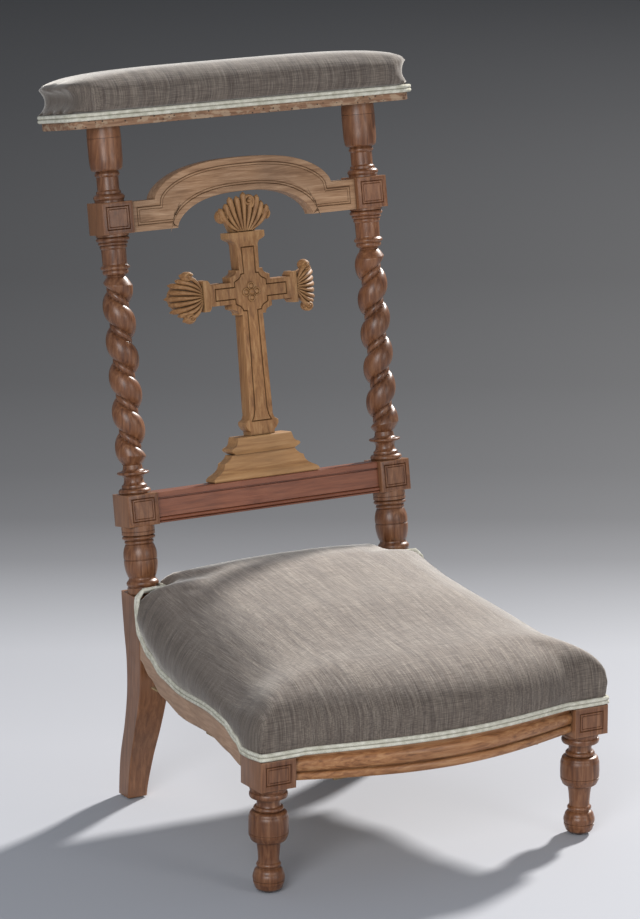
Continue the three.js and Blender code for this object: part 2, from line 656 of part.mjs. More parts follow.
// Height of an arch that springs at half-width w: flat crowned, with steep shoulders.
const archHeight = (x, w, low, high) => low + (high - low) * (1 - (Math.abs(x) / w) ** 2.6) ** 0.62;
function archedRail() {
  const steps = 20;
  const outer = [];
  const inner = [];
  for (let i = 0; i <= steps; i++) {
    const bend = -Math.cos((Math.PI * i) / steps);
    const [xo, xi] = [ARCH.flat * bend, ARCH.foot * bend];
    outer.push([xo, archHeight(xo, ARCH.flat, ARCH.shoulder, ARCH.crown)]);
    inner.push([xi, archHeight(xi, ARCH.foot, ARCH.bottom, ARCH.under)]);
  }
  const outline = [[RAIL_SPAN, ARCH.shoulder], ...outer.reverse(), [-RAIL_SPAN, ARCH.shoulder],
    [-RAIL_SPAN, ARCH.bottom], ...inner, [RAIL_SPAN, ARCH.bottom]];
  const body = plate(outline.reverse(), ARCH.front, ARCH.front + ARCH.thickness);
  const half = TENON.thickness / 2;
  const ends = [-1, 1].map((side) => {
    const [x0, x1] = side < 0 ? [-RAIL_SPAN - TENON.length, -130] : [130, RAIL_SPAN + TENON.length];
    return box(x0, -half, UPPER_BLOCK.bottom + TENON.shoulder, x1, half, UPPER_BLOCK.top - TENON.shoulder);
  });
  return body.add(ends[0]).add(ends[1]);
}
node("arched_upper_rail", archedRail(), "dryWalnut", back);

// ---- cross ----
const FRONT = CROSS.front;
const REAR = CROSS.front + CROSS.thickness;
const MID = (FRONT + REAR) / 2;
const ARM_HALF_HEIGHT = 14;
const ABACUS = { inner: 60, outer: 68, halfHeight: 20 }; // the moulding between each arm and its palmette

function crossUpright() {
  const c = CROSS.centre;
  const outline = mirrored([
    [30.5, CROSS.head], [30.5, 435.5], [CROSS.shaft, 430], [CROSS.shaft, c + 31], [21, c + 31], [21, c + 22],
    [31, c + 22], [31, c - 22], [21, c - 22], [21, c - 31], [13.5, c - 31], [16.5, 210], [24, 198],
    [17.5, 186], [17.5, CROSS.foot + GAP],
  ].reverse());
  return plate(outline, FRONT, REAR)
    .add(rod("z", PIN.foot, LOWER_RAIL.top - PIN.length - 3, CROSS.foot + ROOT, 0, MID))
    .add(rod("z", PIN.head, CROSS.head - ROOT, CROSS.head + PIN.length, 0, MID))
    .subtract(box(-40, MID - GAP, c - ARM_HALF_HEIGHT - GAP, 40, REAR + 1, c + ARM_HALF_HEIGHT + GAP));
}

function crossBar() {
  const c = CROSS.centre;
  const { inner, outer, halfHeight } = ABACUS;
  const outline = mirrored([
    [inner, c - ARM_HALF_HEIGHT], [inner, c - halfHeight], [outer, c - halfHeight], [outer, c + halfHeight],
    [inner, c + halfHeight], [inner, c + ARM_HALF_HEIGHT],
  ]);
  let body = plate(outline, FRONT, REAR);
  body = body.subtract(box(-31.5, FRONT - 1, c - 30, 31.5, MID + GAP, c + 30));
  for (const [, side] of SIDES) {
    const [x0, x1] = side < 0 ? [-outer - PIN.length, -outer + 1] : [outer - 1, outer + PIN.length];
    body = body.add(rod("x", PIN.arm, x0, x1, MID, c));
  }
  return body;
}

node("cross_upright", crossUpright(), "dryWalnut", back);
node("cross_bar", crossBar(), "dryWalnut", back);

// The rosette: four round petals and a button.
function rosette() {
  const c = CROSS.centre;
  const front = FRONT - 6;
  let body = rod("y", 6, front - 2, FRONT - GAP, 0, c);
  for (const [x, z] of [[7, 0], [-7, 0], [0, 7], [0, -7]]) {
    body = body.add(rod("y", 5, front + 2, FRONT - GAP, x, c + z));
  }
  return body;
}
node("cross_rosette", rosette(), "dryWalnut", back);

// A palmette: an open fan of leaves above a pair of volutes, drawn upright and then turned.
const FAN = { leaves: 9, spread: 118, volute: 9 };
function palmette(height, halfWidth, sweep) {
  const outline = [];
  const count = FAN.leaves * 2;
  for (let i = 0; i <= count; i++) {
    const angle = THREE.MathUtils.degToRad(90 - FAN.spread / 2 + (FAN.spread * i) / count);
    const tip = i % 2 === 1 ? 1 : 0.92;
    const x = halfWidth * 1.05 * tip * Math.cos(angle) * 1.15;
    outline.push([x, height * tip * Math.sin(angle)]);
  }
  const base = [[-halfWidth, height * 0.42], [-halfWidth - 1, height * 0.24], [-halfWidth * 0.72, height * 0.14],
    [-halfWidth * 0.38, 0], [halfWidth * 0.38, 0], [halfWidth * 0.72, height * 0.14],
    [halfWidth + 1, height * 0.24], [halfWidth, height * 0.42]];
  const geometry = geometryOf(plate([...outline, ...base], FRONT, REAR));
  // the leaf tips curl backwards
  const places = geometry.attributes.position;
  for (let i = 0; i < places.count; i++) {
    const rise = Math.max(0, places.getZ(i) / height - 0.3);
    places.setY(i, places.getY(i) + sweep * rise * rise);
  }
  return geometry;
}

const topPalmette = palmette(51.2, 37, -10).translate(0, 0, CROSS.head + GAP);
const headHole = rod("z", PIN.head + GAP, CROSS.head - 1, CROSS.head + PIN.length + GAP, 0, MID);
node("palmette_top", solid(topPalmette).subtract(headHole), "dryWalnut", back);
for (const [label, side] of SIDES) {
  const fan = palmette(41.5, 33, 44);
  fan.rotateY((side * Math.PI) / 2).translate(side * (ABACUS.outer + GAP), 0, CROSS.centre);
  const end = ABACUS.outer + PIN.length + GAP;
  const [x0, x1] = side < 0 ? [-end, -ABACUS.inner] : [ABACUS.inner, end];
  const hole = rod("x", PIN.arm + GAP, x0, x1, MID, CROSS.centre);
  node(`palmette_${label}`, solid(fan).subtract(hole), "dryWalnut", back);
}

// The stepped foot of the cross stands on the lower rail, with the upright's pin through it.
const PIN_HOLE = rod("z", PIN.foot + GAP, LOWER_RAIL.top, CROSS.foot + ROOT, 0, MID);
const STEP = { bottom: 159, top: CROSS.foot };
const BASE = { bottom: LOWER_RAIL.top + GAP, top: 158.7 };
const stepOutline = mirrored([[40, STEP.bottom], [50, 165], [38, STEP.top]]);
node("cross_foot_step", plate(stepOutline, FRONT - 6, REAR).subtract(PIN_HOLE), "dryWalnut", back);
const baseOutline = mirrored([[77, BASE.bottom], [75, 131], [61, 141], [57, 147], [45, BASE.top]]);
node("cross_foot_base", plate(baseOutline, LOWER_RAIL.front + 1, REAR).subtract(PIN_HOLE), "dryWalnut", back);

// ---- glides ----
const FEET = [];
const REAR_FOOT = { x: 198.3, y: 138.1 }; // the middle of the rear leg's foot
for (const [label, side] of SIDES) {
  FEET.push([`glide_front_${label}`, side * LEG.x, LEG.y]);
  FEET.push([`glide_rear_${label}`, side * REAR_FOOT.x, REAR_FOOT.y]);
}
for (const [name, x, y] of FEET) node(name, rod("z", GLIDE.radius, 0, GLIDE.height, x, y), "iron");

// The chair's origin is the centre of its footprint.
const extent = new THREE.Box3().setFromObject(chair);
chair.position.set(0, -(extent.min.y + extent.max.y) / 2, 0);

const part = new THREE.Group();
part.add(chair);
export default part;
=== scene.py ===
"""A turned walnut prie-dieu with an upholstered seat and arm rest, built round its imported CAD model.

Lengths are millimetres in the chair's own frame: +X to the right of someone facing the chair, +Y to the back,
+Z up. Everything on the back is drawn on the raked stick: (x, off, t), where t runs up the stick from the
shoulder at seat height and off is the distance behind the stick's axis.
"""
import math

import bmesh
import bpy
from mathutils import Matrix, Vector, noise


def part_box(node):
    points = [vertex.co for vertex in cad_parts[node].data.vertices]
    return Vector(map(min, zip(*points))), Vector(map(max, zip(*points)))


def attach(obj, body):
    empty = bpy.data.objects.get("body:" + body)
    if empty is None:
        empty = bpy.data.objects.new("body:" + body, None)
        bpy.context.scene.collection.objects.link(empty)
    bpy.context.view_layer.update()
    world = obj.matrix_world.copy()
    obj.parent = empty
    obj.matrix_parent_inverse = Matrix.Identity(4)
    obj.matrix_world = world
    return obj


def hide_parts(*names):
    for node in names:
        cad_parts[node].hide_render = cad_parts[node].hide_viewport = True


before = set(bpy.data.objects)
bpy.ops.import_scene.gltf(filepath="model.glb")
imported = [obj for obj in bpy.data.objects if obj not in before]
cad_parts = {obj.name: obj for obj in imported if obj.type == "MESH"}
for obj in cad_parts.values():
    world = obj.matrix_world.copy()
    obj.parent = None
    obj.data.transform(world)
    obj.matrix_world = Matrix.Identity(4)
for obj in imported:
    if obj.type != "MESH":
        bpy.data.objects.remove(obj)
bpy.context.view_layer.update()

MM = 0.001
RAKE = math.radians(9.72)

# ---- driving dimensions ----
POST = {"x": 184.4, "y": 130.1, "shoulder": 271.85, "half": 21.75, "top": 591.6}
LOWER_BLOCK = (85.9, 126.7)
UPPER_BLOCK = (456.5, 497.3)
TWIST = {
    "start": 163.0, "end": 403.0, "pitch": 45.0, "phase": 0.155, "crest": 20.2, "groove": 11.2, "fade": 13.0,
    "strand": 0.77, "bead": 2.2,  # the strand's share of a turn, and the height of the bead beside it
}
FOOT = 2.3  # the wood of each foot stands this far above the floor, on its glide
LEG = {"x": 221.6, "y": -268.3, "half_x": 24.2, "half_y": 26.1, "block": (133.75, 171.5)}
SIDE_RAIL = {"thickness": 22.0, "front_x": 245.8, "rear_x": 206.2, "front_y": -242.2, "rear_y": 97.5}
FRONT_RAIL = {"bottom": 140.0, "top": 171.5, "rise": 5.0, "thickness": 24.0, "set_back": 8.0, "bow": 42.0}
BACK_RAIL_TOP = 228.0
PAD_REAR = 139.0
PAD_MIDDLE = -90.0
SEAT_CROWN = 26.0
CORD = 2.55  # radius of each cord of the double welt
CROSS = {"centre": 365.5, "front": -12.0, "rear": 10.0, "head": 442.5, "tip": 493.5, "foot": 181.0}
REST = {"length": 490.0, "front": 46.0, "back": 70.0, "corner": 26.0, "bare": 10.0, "crown": 51.0}
BOARD = (POST["top"] + 0.3, POST["top"] + 20.3)
BLOCK_GROOVES = ((3.9, 1.8, 1.3), (1.6, 1.2, 0.7))  # on the posts: (inset, width, depth)
LEG_GROOVES = ((5.4, 1.8, 1.3), (1.6, 1.2, 0.7))
CLOTH_FRAMES = 15
AZIMUTH = math.radians(29.32)  # the camera stands this far to the left of the front
ELEVATION = math.radians(13.91)

LEG_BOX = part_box("front_leg_left")
SHIFT = (LEG_BOX[0][1] + LEG_BOX[1][1]) / 2 / MM - LEG["y"]  # from the chair's own origin to the frame's
WORLD = Matrix.Diagonal((MM, MM, MM, 1))
CHAIR = WORLD @ Matrix.Translation((0, SHIFT, 0))
STICK = CHAIR @ Matrix.Translation((0, POST["y"], POST["shoulder"])) @ Matrix.Rotation(-RAKE, 4, "X")
SIDES = (("left", -1), ("right", 1))


# ---- camera ----
def make_camera():
    data = bpy.data.cameras.new("camera")
    data.lens = 174.63
    data.sensor_width = 36.0
    data.clip_end = 60.0
    camera = bpy.data.objects.new("camera", data)
    bpy.context.scene.collection.objects.link(camera)
    target = CHAIR @ Vector((0, 0, 451.2))
    away = Vector((
        -math.sin(AZIMUTH) * math.cos(ELEVATION),
        -math.cos(AZIMUTH) * math.cos(ELEVATION),
        math.sin(ELEVATION),
    ))
    camera.location = target + away * 5.6045
    camera.rotation_euler = (-away).to_track_quat("-Z", "Y").to_euler()
    bpy.context.scene.camera = camera


# ---- node helpers for materials ----
class Nodes:
    """Short calls for building a node tree."""

    def __init__(self, name):
        self.material = bpy.data.materials.new(name)
        self.material.use_nodes = True
        self.tree = self.material.node_tree
        self.shader = self.tree.nodes["Principled BSDF"]

    def add(self, kind, **settings):
        node = self.tree.nodes.new("ShaderNode" + kind)
        for key, value in settings.items():
            if hasattr(node, key):
                setattr(node, key, value)
            else:
                node.inputs[key.replace("_", " ").title()].default_value = value
        return node

    def link(self, source, target):
        self.tree.links.new(source, target)

    def place(self, scale, turn=(0, 0, 0)):
        coordinates = self.add("TexCoord")
        mapping = self.add("Mapping")
        mapping.inputs["Scale"].default_value = scale
        mapping.inputs["Rotation"].default_value = turn
        self.link(coordinates.outputs["Object"], mapping.inputs["Vector"])
        return mapping.outputs["Vector"]

    def noise(self, scale, detail=4.0, roughness=0.55, distortion=0.0, turn=(0, 0, 0)):
        node = self.add("TexNoise")
        node.inputs["Scale"].default_value = 1.0
        node.inputs["Detail"].default_value = detail
        node.inputs["Roughness"].default_value = roughness
        node.inputs["Distortion"].default_value = distortion
        self.link(self.place(scale, turn), node.inputs["Vector"])
        return node.outputs["Fac"]

    def ramp(self, value, stops):
        node = self.add("ValToRGB")
        elements = node.color_ramp.elements
        while len(elements) < len(stops):
            elements.new(0.5)
        for element, (place, colour) in zip(elements, stops):
            element.position = place
            element.color = (*colour, 1)
        self.link(value, node.inputs["Fac"])
        return node.outputs["Color"]

    def mix(self, factor, a, b, blend="MIX"):
        node = self.add("Mix", data_type="RGBA", blend_type=blend)
        for value, socket in ((factor, node.inputs[0]), (a, node.inputs[6]), (b, node.inputs[7])):
            if isinstance(value, (int, float)):
                socket.default_value = value
            elif isinstance(value, tuple):
                socket.default_value = (*value, 1)
            else:
                self.link(value, socket)
        return node.outputs[2]

    def tint(self, factor, colour, value, stops):
        """A colour multiplied by a ramp of a value."""
        return self.mix(factor, colour, self.ramp(value, stops), "MULTIPLY")

    def occlusion(self, distance):
        """How open the surface is within a distance in millimetres."""
        node = self.add("AmbientOcclusion", samples=8)
        node.inputs["Distance"].default_value = distance * MM
        return node.outputs["AO"]

    def math(self, operation, a, b=0.0):
        node = self.add("Math", operation=operation)
        for value, socket in zip((a, b), node.inputs):
            if isinstance(value, (int, float)):
                socket.default_value = value
            else:
                self.link(value, socket)
        return node.outputs[0]

    def span(self, value, low, high):
        node = self.add("MapRange")
        node.inputs["To Min"].default_value = low
        node.inputs["To Max"].default_value = high
        self.link(value, node.inputs["Value"])
        return node.outputs["Result"]

    def bump(self, *layers):
        """Stack (height, strength, distance in mm) layers into the shader's normal."""
        last = None
        for height, strength, distance in layers:
            node = self.add("Bump")
            node.inputs["Strength"].default_value = strength
            node.inputs["Distance"].default_value = distance * MM
            self.link(height, node.inputs["Height"])
            if last:
                self.link(last, node.inputs["Normal"])
            last = node.outputs["Normal"]
        self.link(last, self.shader.inputs["Normal"])


def wood(name, dark, mid, light, along, gloss, recess_shade=0.55):
    """Walnut with its grain along X, Y or Z: streaks, pores, worn edges and painted shade in the grooves and
    corners.
    """
    n = Nodes(name)
    stretch = {"X": (18, 260, 260), "Y": (260, 18, 260), "Z": (230, 230, 16)}[along]
    fine = {"X": (70, 1500, 1500), "Y": (1500, 70, 1500), "Z": (1500, 1500, 70)}[along]
    figure = n.noise(stretch, 5.0, 0.6, 0.6)
    pores = n.noise(fine, 3.0, 0.6)
    broad = n.noise((9, 9, 9), 2.0)
    colour = n.ramp(figure, [(0.3, dark), (0.5, mid), (0.72, light)])
    colour = n.mix(n.span(pores, 0.0, 0.55), colour, tuple(c * 0.45 for c in dark))
    colour = n.tint(0.75, colour, broad, [(0.3, (0.72, 0.68, 0.66)), (0.7, (1.25, 1.2, 1.15))])
    # painted shade: the colour darkens where ambient occlusion finds grooves, corners and joints
    recess_shade_mask = n.ramp(n.occlusion(7), [(0.35, (1, 1, 1)), (0.85, (0, 0, 0))])
    colour = n.mix(n.math("MULTIPLY", recess_shade_mask, recess_shade), colour, tuple(c * 0.28 for c in dark))
    edge = n.add("NewGeometry")
    wear = n.ramp(edge.outputs["Pointiness"], [(0.52, (0, 0, 0)), (0.6, (1, 1, 1))])
    colour = n.mix(n.math("MULTIPLY", wear, 0.35), colour, light)
    n.link(colour, n.shader.inputs["Base Color"])
    n.link(n.span(n.noise((60, 60, 60), 3.0), gloss - 0.1, gloss + 0.16), n.shader.inputs["Roughness"])
    n.bump((pores, 0.25, 0.25), (figure, 0.2, 0.35), (n.noise((45, 45, 45), 2.0), 0.15, 0.6))
    return n.material


def linen(name, fade):
    """Taupe slub linen: streaks run front to back on top and down the faces, with finer threads across.

    fade is how much lighter the cover is painted where it faces up: painted light on the top.
    """
    n = Nodes(name)
    geometry = n.add("NewGeometry")
    split = n.add("SeparateXYZ")
    n.link(geometry.outputs["Normal"], split.inputs[0])
    side = n.ramp(n.math("ABSOLUTE", split.outputs["X"]), [(0.55, (0, 0, 0)), (0.8, (1, 1, 1))])
    streak = n.mix(side, n.noise((1150, 34, 38), 3.0, 0.6), n.noise((34, 1150, 38), 3.0, 0.6))
    across = n.noise((40, 1250, 1250), 2.0, 0.6)
    broad = n.mix(side, n.noise((170, 7, 9), 3.0, 0.6), n.noise((7, 170, 9), 3.0, 0.6))
    dark, mid, light = (0.088, 0.07, 0.06), (0.132, 0.11, 0.094), (0.205, 0.178, 0.152)
    colour = n.ramp(streak, [(0.3, dark), (0.5, mid), (0.72, light)])
    colour = n.tint(0.6, colour, across, [(0.38, (0.6, 0.58, 0.56)), (0.62, (1.36, 1.32, 1.28))])
    colour = n.tint(0.8, colour, broad, [(0.35, (0.8, 0.79, 0.8)), (0.65, (1.18, 1.17, 1.14))])
    # painted light: faces that turn up are painted lighter, as if lit from above
    painted_top_light = (fade, fade * 1.03, fade * 1.06)
    colour = n.tint(1.0, colour, split.outputs["Z"], [(0.55, (1, 1, 1)), (0.97, painted_top_light)])
    n.link(colour, n.shader.inputs["Base Color"])
    n.shader.inputs["Roughness"].default_value = 0.88
    n.shader.inputs["Specular IOR Level"].default_value = 0.2
    n.shader.inputs["Sheen Weight"].default_value = 0.75
    n.shader.inputs["Sheen Roughness"].default_value = 0.35
    n.shader.inputs["Sheen Tint"].default_value = (1.0, 0.96, 0.9, 1)
    n.bump((streak, 0.35, 0.5), (across, 0.3, 0.4), (n.noise((40, 40, 40), 2.0), 0.12, 1.5))
    return n.material


def woven(name, dark, light, thread, depth):
    """A plain weave, for cord covers, jute and hessian; thread is its pitch in millimetres."""
    n = Nodes(name)
    rate = 2 * math.pi / thread
    warp = n.add("TexWave", bands_direction="X")
    weft = n.add("TexWave", bands_direction="DIAGONAL")
    for wave in (warp, weft):
        wave.inputs["Scale"].default_value = 1.0
        wave.inputs["Distortion"].default_value = 0.4
        n.link(n.place((rate * 50, rate * 50, rate * 50)), wave.inputs["Vector"])
    weave = n.math("MULTIPLY", warp.outputs["Fac"], weft.outputs["Fac"])
    patch = n.noise((120, 120, 120), 4.0)
    colour = n.ramp(patch, [(0.3, dark), (0.7, light)])
    colour = n.tint(0.45, colour, weave, [(0.0, (0.55, 0.53, 0.5)), (0.5, (1.1, 1.1, 1.1))])
    # painted shade: the colour darkens where ambient occlusion finds creases and hollows
    colour = n.tint(0.8, colour, n.occlusion(4), [(0.2, (0.45, 0.42, 0.38)), (0.75, (1, 1, 1))])
    n.link(colour, n.shader.inputs["Base Color"])
    n.shader.inputs["Roughness"].default_value = 0.9
    n.shader.inputs["Specular IOR Level"].default_value = 0.2
    n.bump((weave, 0.5, depth), (patch, 0.2, 0.4))
    return n.material


def bare_board():
    """The raw edge of the arm rest board, with the holes and rust of old tacks."""
    n = Nodes("bare_board")
    figure = n.noise((22, 300, 300), 5.0, 0.6, 0.5)
    holes = n.add("TexVoronoi")
    holes.inputs["Scale"].default_value = 1.0
    n.link(n.place((150, 150, 190)), holes.inputs["Vector"])
    dark, mid, light = (0.13, 0.06, 0.03), (0.27, 0.15, 0.085), (0.4, 0.26, 0.16)
    colour = n.ramp(figure, [(0.3, dark), (0.55, mid), (0.75, light)])
    chips = n.ramp(n.noise((90, 90, 160), 4.0), [(0.5, (0, 0, 0)), (0.58, (1, 1, 1))])
    colour = n.mix(n.math("MULTIPLY", chips, 0.5), colour, (0.45, 0.34, 0.23))
    pits = n.ramp(holes.outputs["Distance"], [(0.14, (1, 1, 1)), (0.22, (0, 0, 0))])
    colour = n.mix(pits, colour, (0.03, 0.018, 0.012))
    n.link(colour, n.shader.inputs["Base Color"])
    n.shader.inputs["Roughness"].default_value = 0.8
    n.bump((figure, 0.3, 0.5), (n.math("SUBTRACT", 1.0, pits), 0.6, 0.8), (chips, 0.4, 0.5))
    return n.material


def iron():
    """Dark iron with a little rust."""
    n = Nodes("iron")
    rust = n.noise((300, 300, 300), 4.0)
    colour = n.ramp(rust, [(0.35, (0.03, 0.027, 0.025)), (0.7, (0.11, 0.07, 0.045))])
    n.link(colour, n.shader.inputs["Base Color"])
    n.shader.inputs["Metallic"].default_value = 0.85
    n.link(n.span(rust, 0.35, 0.65), n.shader.inputs["Roughness"])
    n.bump((rust, 0.2, 0.2))
    return n.material


WALNUT = ((0.095, 0.034, 0.014), (0.21, 0.085, 0.036), (0.34, 0.165, 0.08))
DRY = ((0.2, 0.1, 0.045), (0.37, 0.215, 0.115), (0.54, 0.35, 0.215))
GOLD = ((0.19, 0.082, 0.026), (0.36, 0.175, 0.062), (0.52, 0.3, 0.13))
RED = ((0.1, 0.026, 0.012), (0.21, 0.062, 0.028), (0.33, 0.12, 0.06))
PALE = ((0.22, 0.12, 0.07), (0.40, 0.24, 0.15), (0.55, 0.37, 0.25))
ORANGE = ((0.17, 0.065, 0.022), (0.4, 0.18, 0.07), (0.58, 0.32, 0.15))
BEECH = ((0.3, 0.17, 0.085), (0.45, 0.28, 0.155), (0.56, 0.38, 0.23))
FINISH = {
    "polished_walnut": wood("polished_walnut", *WALNUT, "Z", 0.34),
    "front_rail_walnut": wood("front_rail_walnut", *ORANGE, "X", 0.36),
    "red_walnut": wood("red_walnut", *RED, "X", 0.38),
    "dry_upright": wood("dry_upright", *GOLD, "Z", 0.58, 0.7),
    "dry_cross": wood("dry_cross", *GOLD, "X", 0.58, 0.75),
    "dry_arch": wood("dry_arch", *DRY, "X", 0.6, 0.6),
    "pale_walnut": wood("pale_walnut", *PALE, "Y", 0.62, 0.4),
    "beech": wood("beech", *BEECH, "X", 0.72, 0.3),
    "bare_board": bare_board(),
    # the number given to each cover is the painted light on its top
    "linen": linen("linen", 1.15),
    "seat_linen": linen("seat_linen", 1.75),
    "welt_cord": woven("welt_cord", (0.5, 0.48, 0.38), (0.78, 0.76, 0.66), 1.1, 0.3),
    "jute_webbing": woven("jute_webbing", (0.2, 0.13, 0.06), (0.42, 0.3, 0.16), 2.2, 0.6),
    "hessian": woven("hessian", (0.17, 0.115, 0.06), (0.36, 0.26, 0.15), 1.8, 0.5),
    "iron": iron(),
}


# ---- mesh helpers ----
def skin(rings, closed=False):
    """Faces over rings of equal length; a cap closes each end, or the rings close on themselves."""
    count = len(rings[0])
    vertices = [point for ring in rings for point in ring]
    faces = []
    for i in range(len(rings) if closed else len(rings) - 1):
        following = (i + 1) % len(rings)
        for j in range(count):
            k = (j + 1) % count
            faces.append((i * count + j, i * count + k, following * count + k, following * count + j))
    if not closed:
        faces.append(tuple(range(count)))
        faces.append(tuple(range((len(rings) - 1) * count, len(rings) * count)))
    return vertices, faces


def piece(name, shells, finish, replaces=(), matrix=STICK, crease=38.0):
    """One object from closed shells given in millimetres."""
    mesh = bpy.data.meshes.new(name)
    vertices = []
    faces = []
    for points, corners in shells:
        start = len(vertices)
        vertices.extend(matrix @ Vector(p) for p in points)
        faces.extend(tuple(start + i for i in corner) for corner in corners)
    mesh.from_pydata(vertices, [], faces)
    work = bmesh.new()
    work.from_mesh(mesh)
    bmesh.ops.recalc_face_normals(work, faces=work.faces)
    work.to_mesh(mesh)
    work.free()
    mesh.shade_smooth()
    mesh.set_sharp_from_angle(angle=math.radians(crease))
    mesh.materials.append(FINISH[finish])
    made = bpy.data.objects.new(name, mesh)
    bpy.context.scene.collection.objects.link(made)
    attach(made, "root")
    if replaces:
        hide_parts(*replaces)
    return made


def shell_of(work):
    """The vertices and faces of a bmesh."""
    work.verts.index_update()
    points = [tuple(v.co) for v in work.verts]
    corners = [tuple(v.index for v in f.verts) for f in work.faces]
    work.free()
    return points, corners


def moved(shell, dx=0.0, dy=0.0, dz=0.0):
    return [(x + dx, y + dy, z + dz) for x, y, z in shell[0]], shell[1]


def turned(profile, sides=64):
    """A turned shell. Each stop is (height, radius, bulge); bulge is how far the line to it swells out."""
    line = [(profile[0][0], profile[0][1])]
    for (z0, r0, _), (z1, r1, bulge) in zip(profile, profile[1:]):
        steps = 8 if bulge else 1
        length = math.hypot(z1 - z0, r1 - r0)
        for i in range(1, steps + 1):
            u = i / steps
            swell = bulge * 4 * u * (1 - u)
            across = ((z1 - z0) / length, -(r1 - r0) / length)
            line.append((z0 + (z1 - z0) * u + swell * across[1], r0 + (r1 - r0) * u + swell * across[0]))
    rings = []
    for z, r in line:
        rings.append([(r * math.cos(a), r * math.sin(a), z) for a in circle(sides)])
    return skin(rings)


def circle(sides):
    return [2 * math.pi * i / sides for i in range(sides)]


def plate(outline, y0, y1, bevel=1.0, grooves=()):
    """A plate drawn in X and Z from y0 (front) to y1 (back); each groove is (inset, width, depth)."""
    work = bmesh.new()
    front = [work.verts.new((x, y0, z)) for x, z in outline]
    rear = [work.verts.new((x, y1, z)) for x, z in outline]
    count = len(outline)
    work.faces.new(front)
    work.faces.new(rear[::-1])
    for i in range(count):
        j = (i + 1) % count
        work.faces.new((front[i], rear[i], rear[j], front[j]))
    bmesh.ops.recalc_face_normals(work, faces=work.faces)
    if bevel:
        rims = [e for e in work.edges if e.verts[0].co.y == e.verts[1].co.y]
        bmesh.ops.bevel(work, geom=rims, offset=bevel, segments=2, profile=0.5, affect="EDGES")
    face = max((f for f in work.faces if f.normal.y < -0.99), key=lambda f: f.calc_area())
    for inset, width, depth in grooves:
        bmesh.ops.inset_region(work, faces=[face], thickness=inset, use_even_offset=True)
        bmesh.ops.inset_region(work, faces=[face], thickness=width / 2, depth=-depth, use_even_offset=True)
        bmesh.ops.inset_region(work, faces=[face], thickness=width / 2, depth=depth, use_even_offset=True)
    return shell_of(work)


def box_shell(x0, x1, y0, y1, z0, z1, bevel=1.2, grooves=()):
    return plate([(x0, z0), (x1, z0), (x1, z1), (x0, z1)], y0, y1, bevel, grooves)


def mirrored(outline):
    return list(outline) + [(-x, z) for x, z in reversed(outline)]


def between(a, b, t):
    return a + (b - a) * t


def eased(table, place):
    """The value at a place in a table of (place, value), eased at each entry."""
    if place <= table[0][0]:
        return table[0][1]
    for (x0, v0), (x1, v1) in zip(table, table[1:]):
        if place <= x1:
            t = (place - x0) / (x1 - x0)
            return between(v0, v1, t * t * (3 - 2 * t))
    return table[-1][1]


def tube(stops, radius, lift, depth, closed, sides):
    """A round cord beside a path of (place, out, up), lift along up and depth along out from it."""
    rings = []
    for place, out, up in stops:
        centre = place + out * depth + up * lift
        along_out = out.normalized()
        along_up = up.normalized()
        rings.append([
            tuple(centre + radius * (math.cos(a) * along_out + math.sin(a) * along_up)) for a in circle(sides)
        ])
    return skin(rings, closed)


# ---- back posts ----
BELOW_BLOCK = [
    (-0.5, 20, 0), (7, 20, 0), (7.3, 18.8, 0), (8.2, 18.8, 0), (16.2, 18.4, 2.0), (20.2, 17.2, -0.6),
    (20.6, 17.7, 0), (42, 21.3, 1.3), (42.5, 20.5, 0), (43.3, 20.5, 0), (43.8, 21.4, 0), (62, 18.0, 1.3),
    (62.4, 17.4, 0), (67.3, 17.6, 1.2), (67.6, 18.2, 0), (74, 18.6, 2.8), (74.5, 21.2, 0), (78.2, 21.2, 0),
    (78.5, 20.6, 0), (79, 20.6, 0), (79.3, 21.2, 0), (86.5, 21.2, 0),
]
ABOVE_BLOCK = [
    (126.2, 18.8, 0), (133.4, 18.4, 2.0), (133.8, 15.7, 0), (137.6, 15.7, 0.3), (143.6, 12.4, -0.9),
    (151.2, 17.3, -1.9), (151.5, 19.6, 0), (154.8, 19.6, 0.9), (155.1, 17.3, 0), (161, 12.4, -1.8),
    (166, 11.2, 0),
]
BELOW_UPPER = [
    (400, 11.2, 0), (403.2, 11.8, 0), (405.2, 14.2, -0.4), (411.2, 15.8, 1.4), (417.6, 16.4, 2.6),
    (420.8, 15.6, -0.4), (437.6, 15.9, 0), (443.0, 16.6, 1.2), (443.3, 18.2, 0), (446.6, 18.4, 0.9),
    (453.6, 18.9, 2.8), (454, 21, 0), (457, 21, 0),
]
CUP = [
    (496.8, 18.7, 0), (499.8, 18.7, 0), (507.2, 17.4, 2.0), (508, 15.8, 0), (511, 15.8, 0), (514, 14, -0.5),
    (529, 14, 0), (535.2, 14.6, 1.6), (536.3, 16.0, 0), (541.5, 20.4, 1.4), (553.5, 21.4, 0.3),
    (577.8, 21.7, 0), (577.9, 21.2, 0), (578.5, 21.2, 0), (578.7, 21.7, 0), (POST["top"], 21, 0),
]


def rope(q):
    """Radius of the twist at a share q of a turn: a fat rounded strand, with a thin bead beside it."""
    strand = TWIST["strand"]
    if q < strand:
        depth = TWIST["crest"] - TWIST["groove"]
        return TWIST["groove"] + depth * math.sqrt(max(0.0, 1 - (2 * q / strand - 1) ** 2))
    return TWIST["groove"] + TWIST["bead"] * math.sin(math.pi * (q - strand) / (1 - strand)) ** 0.7


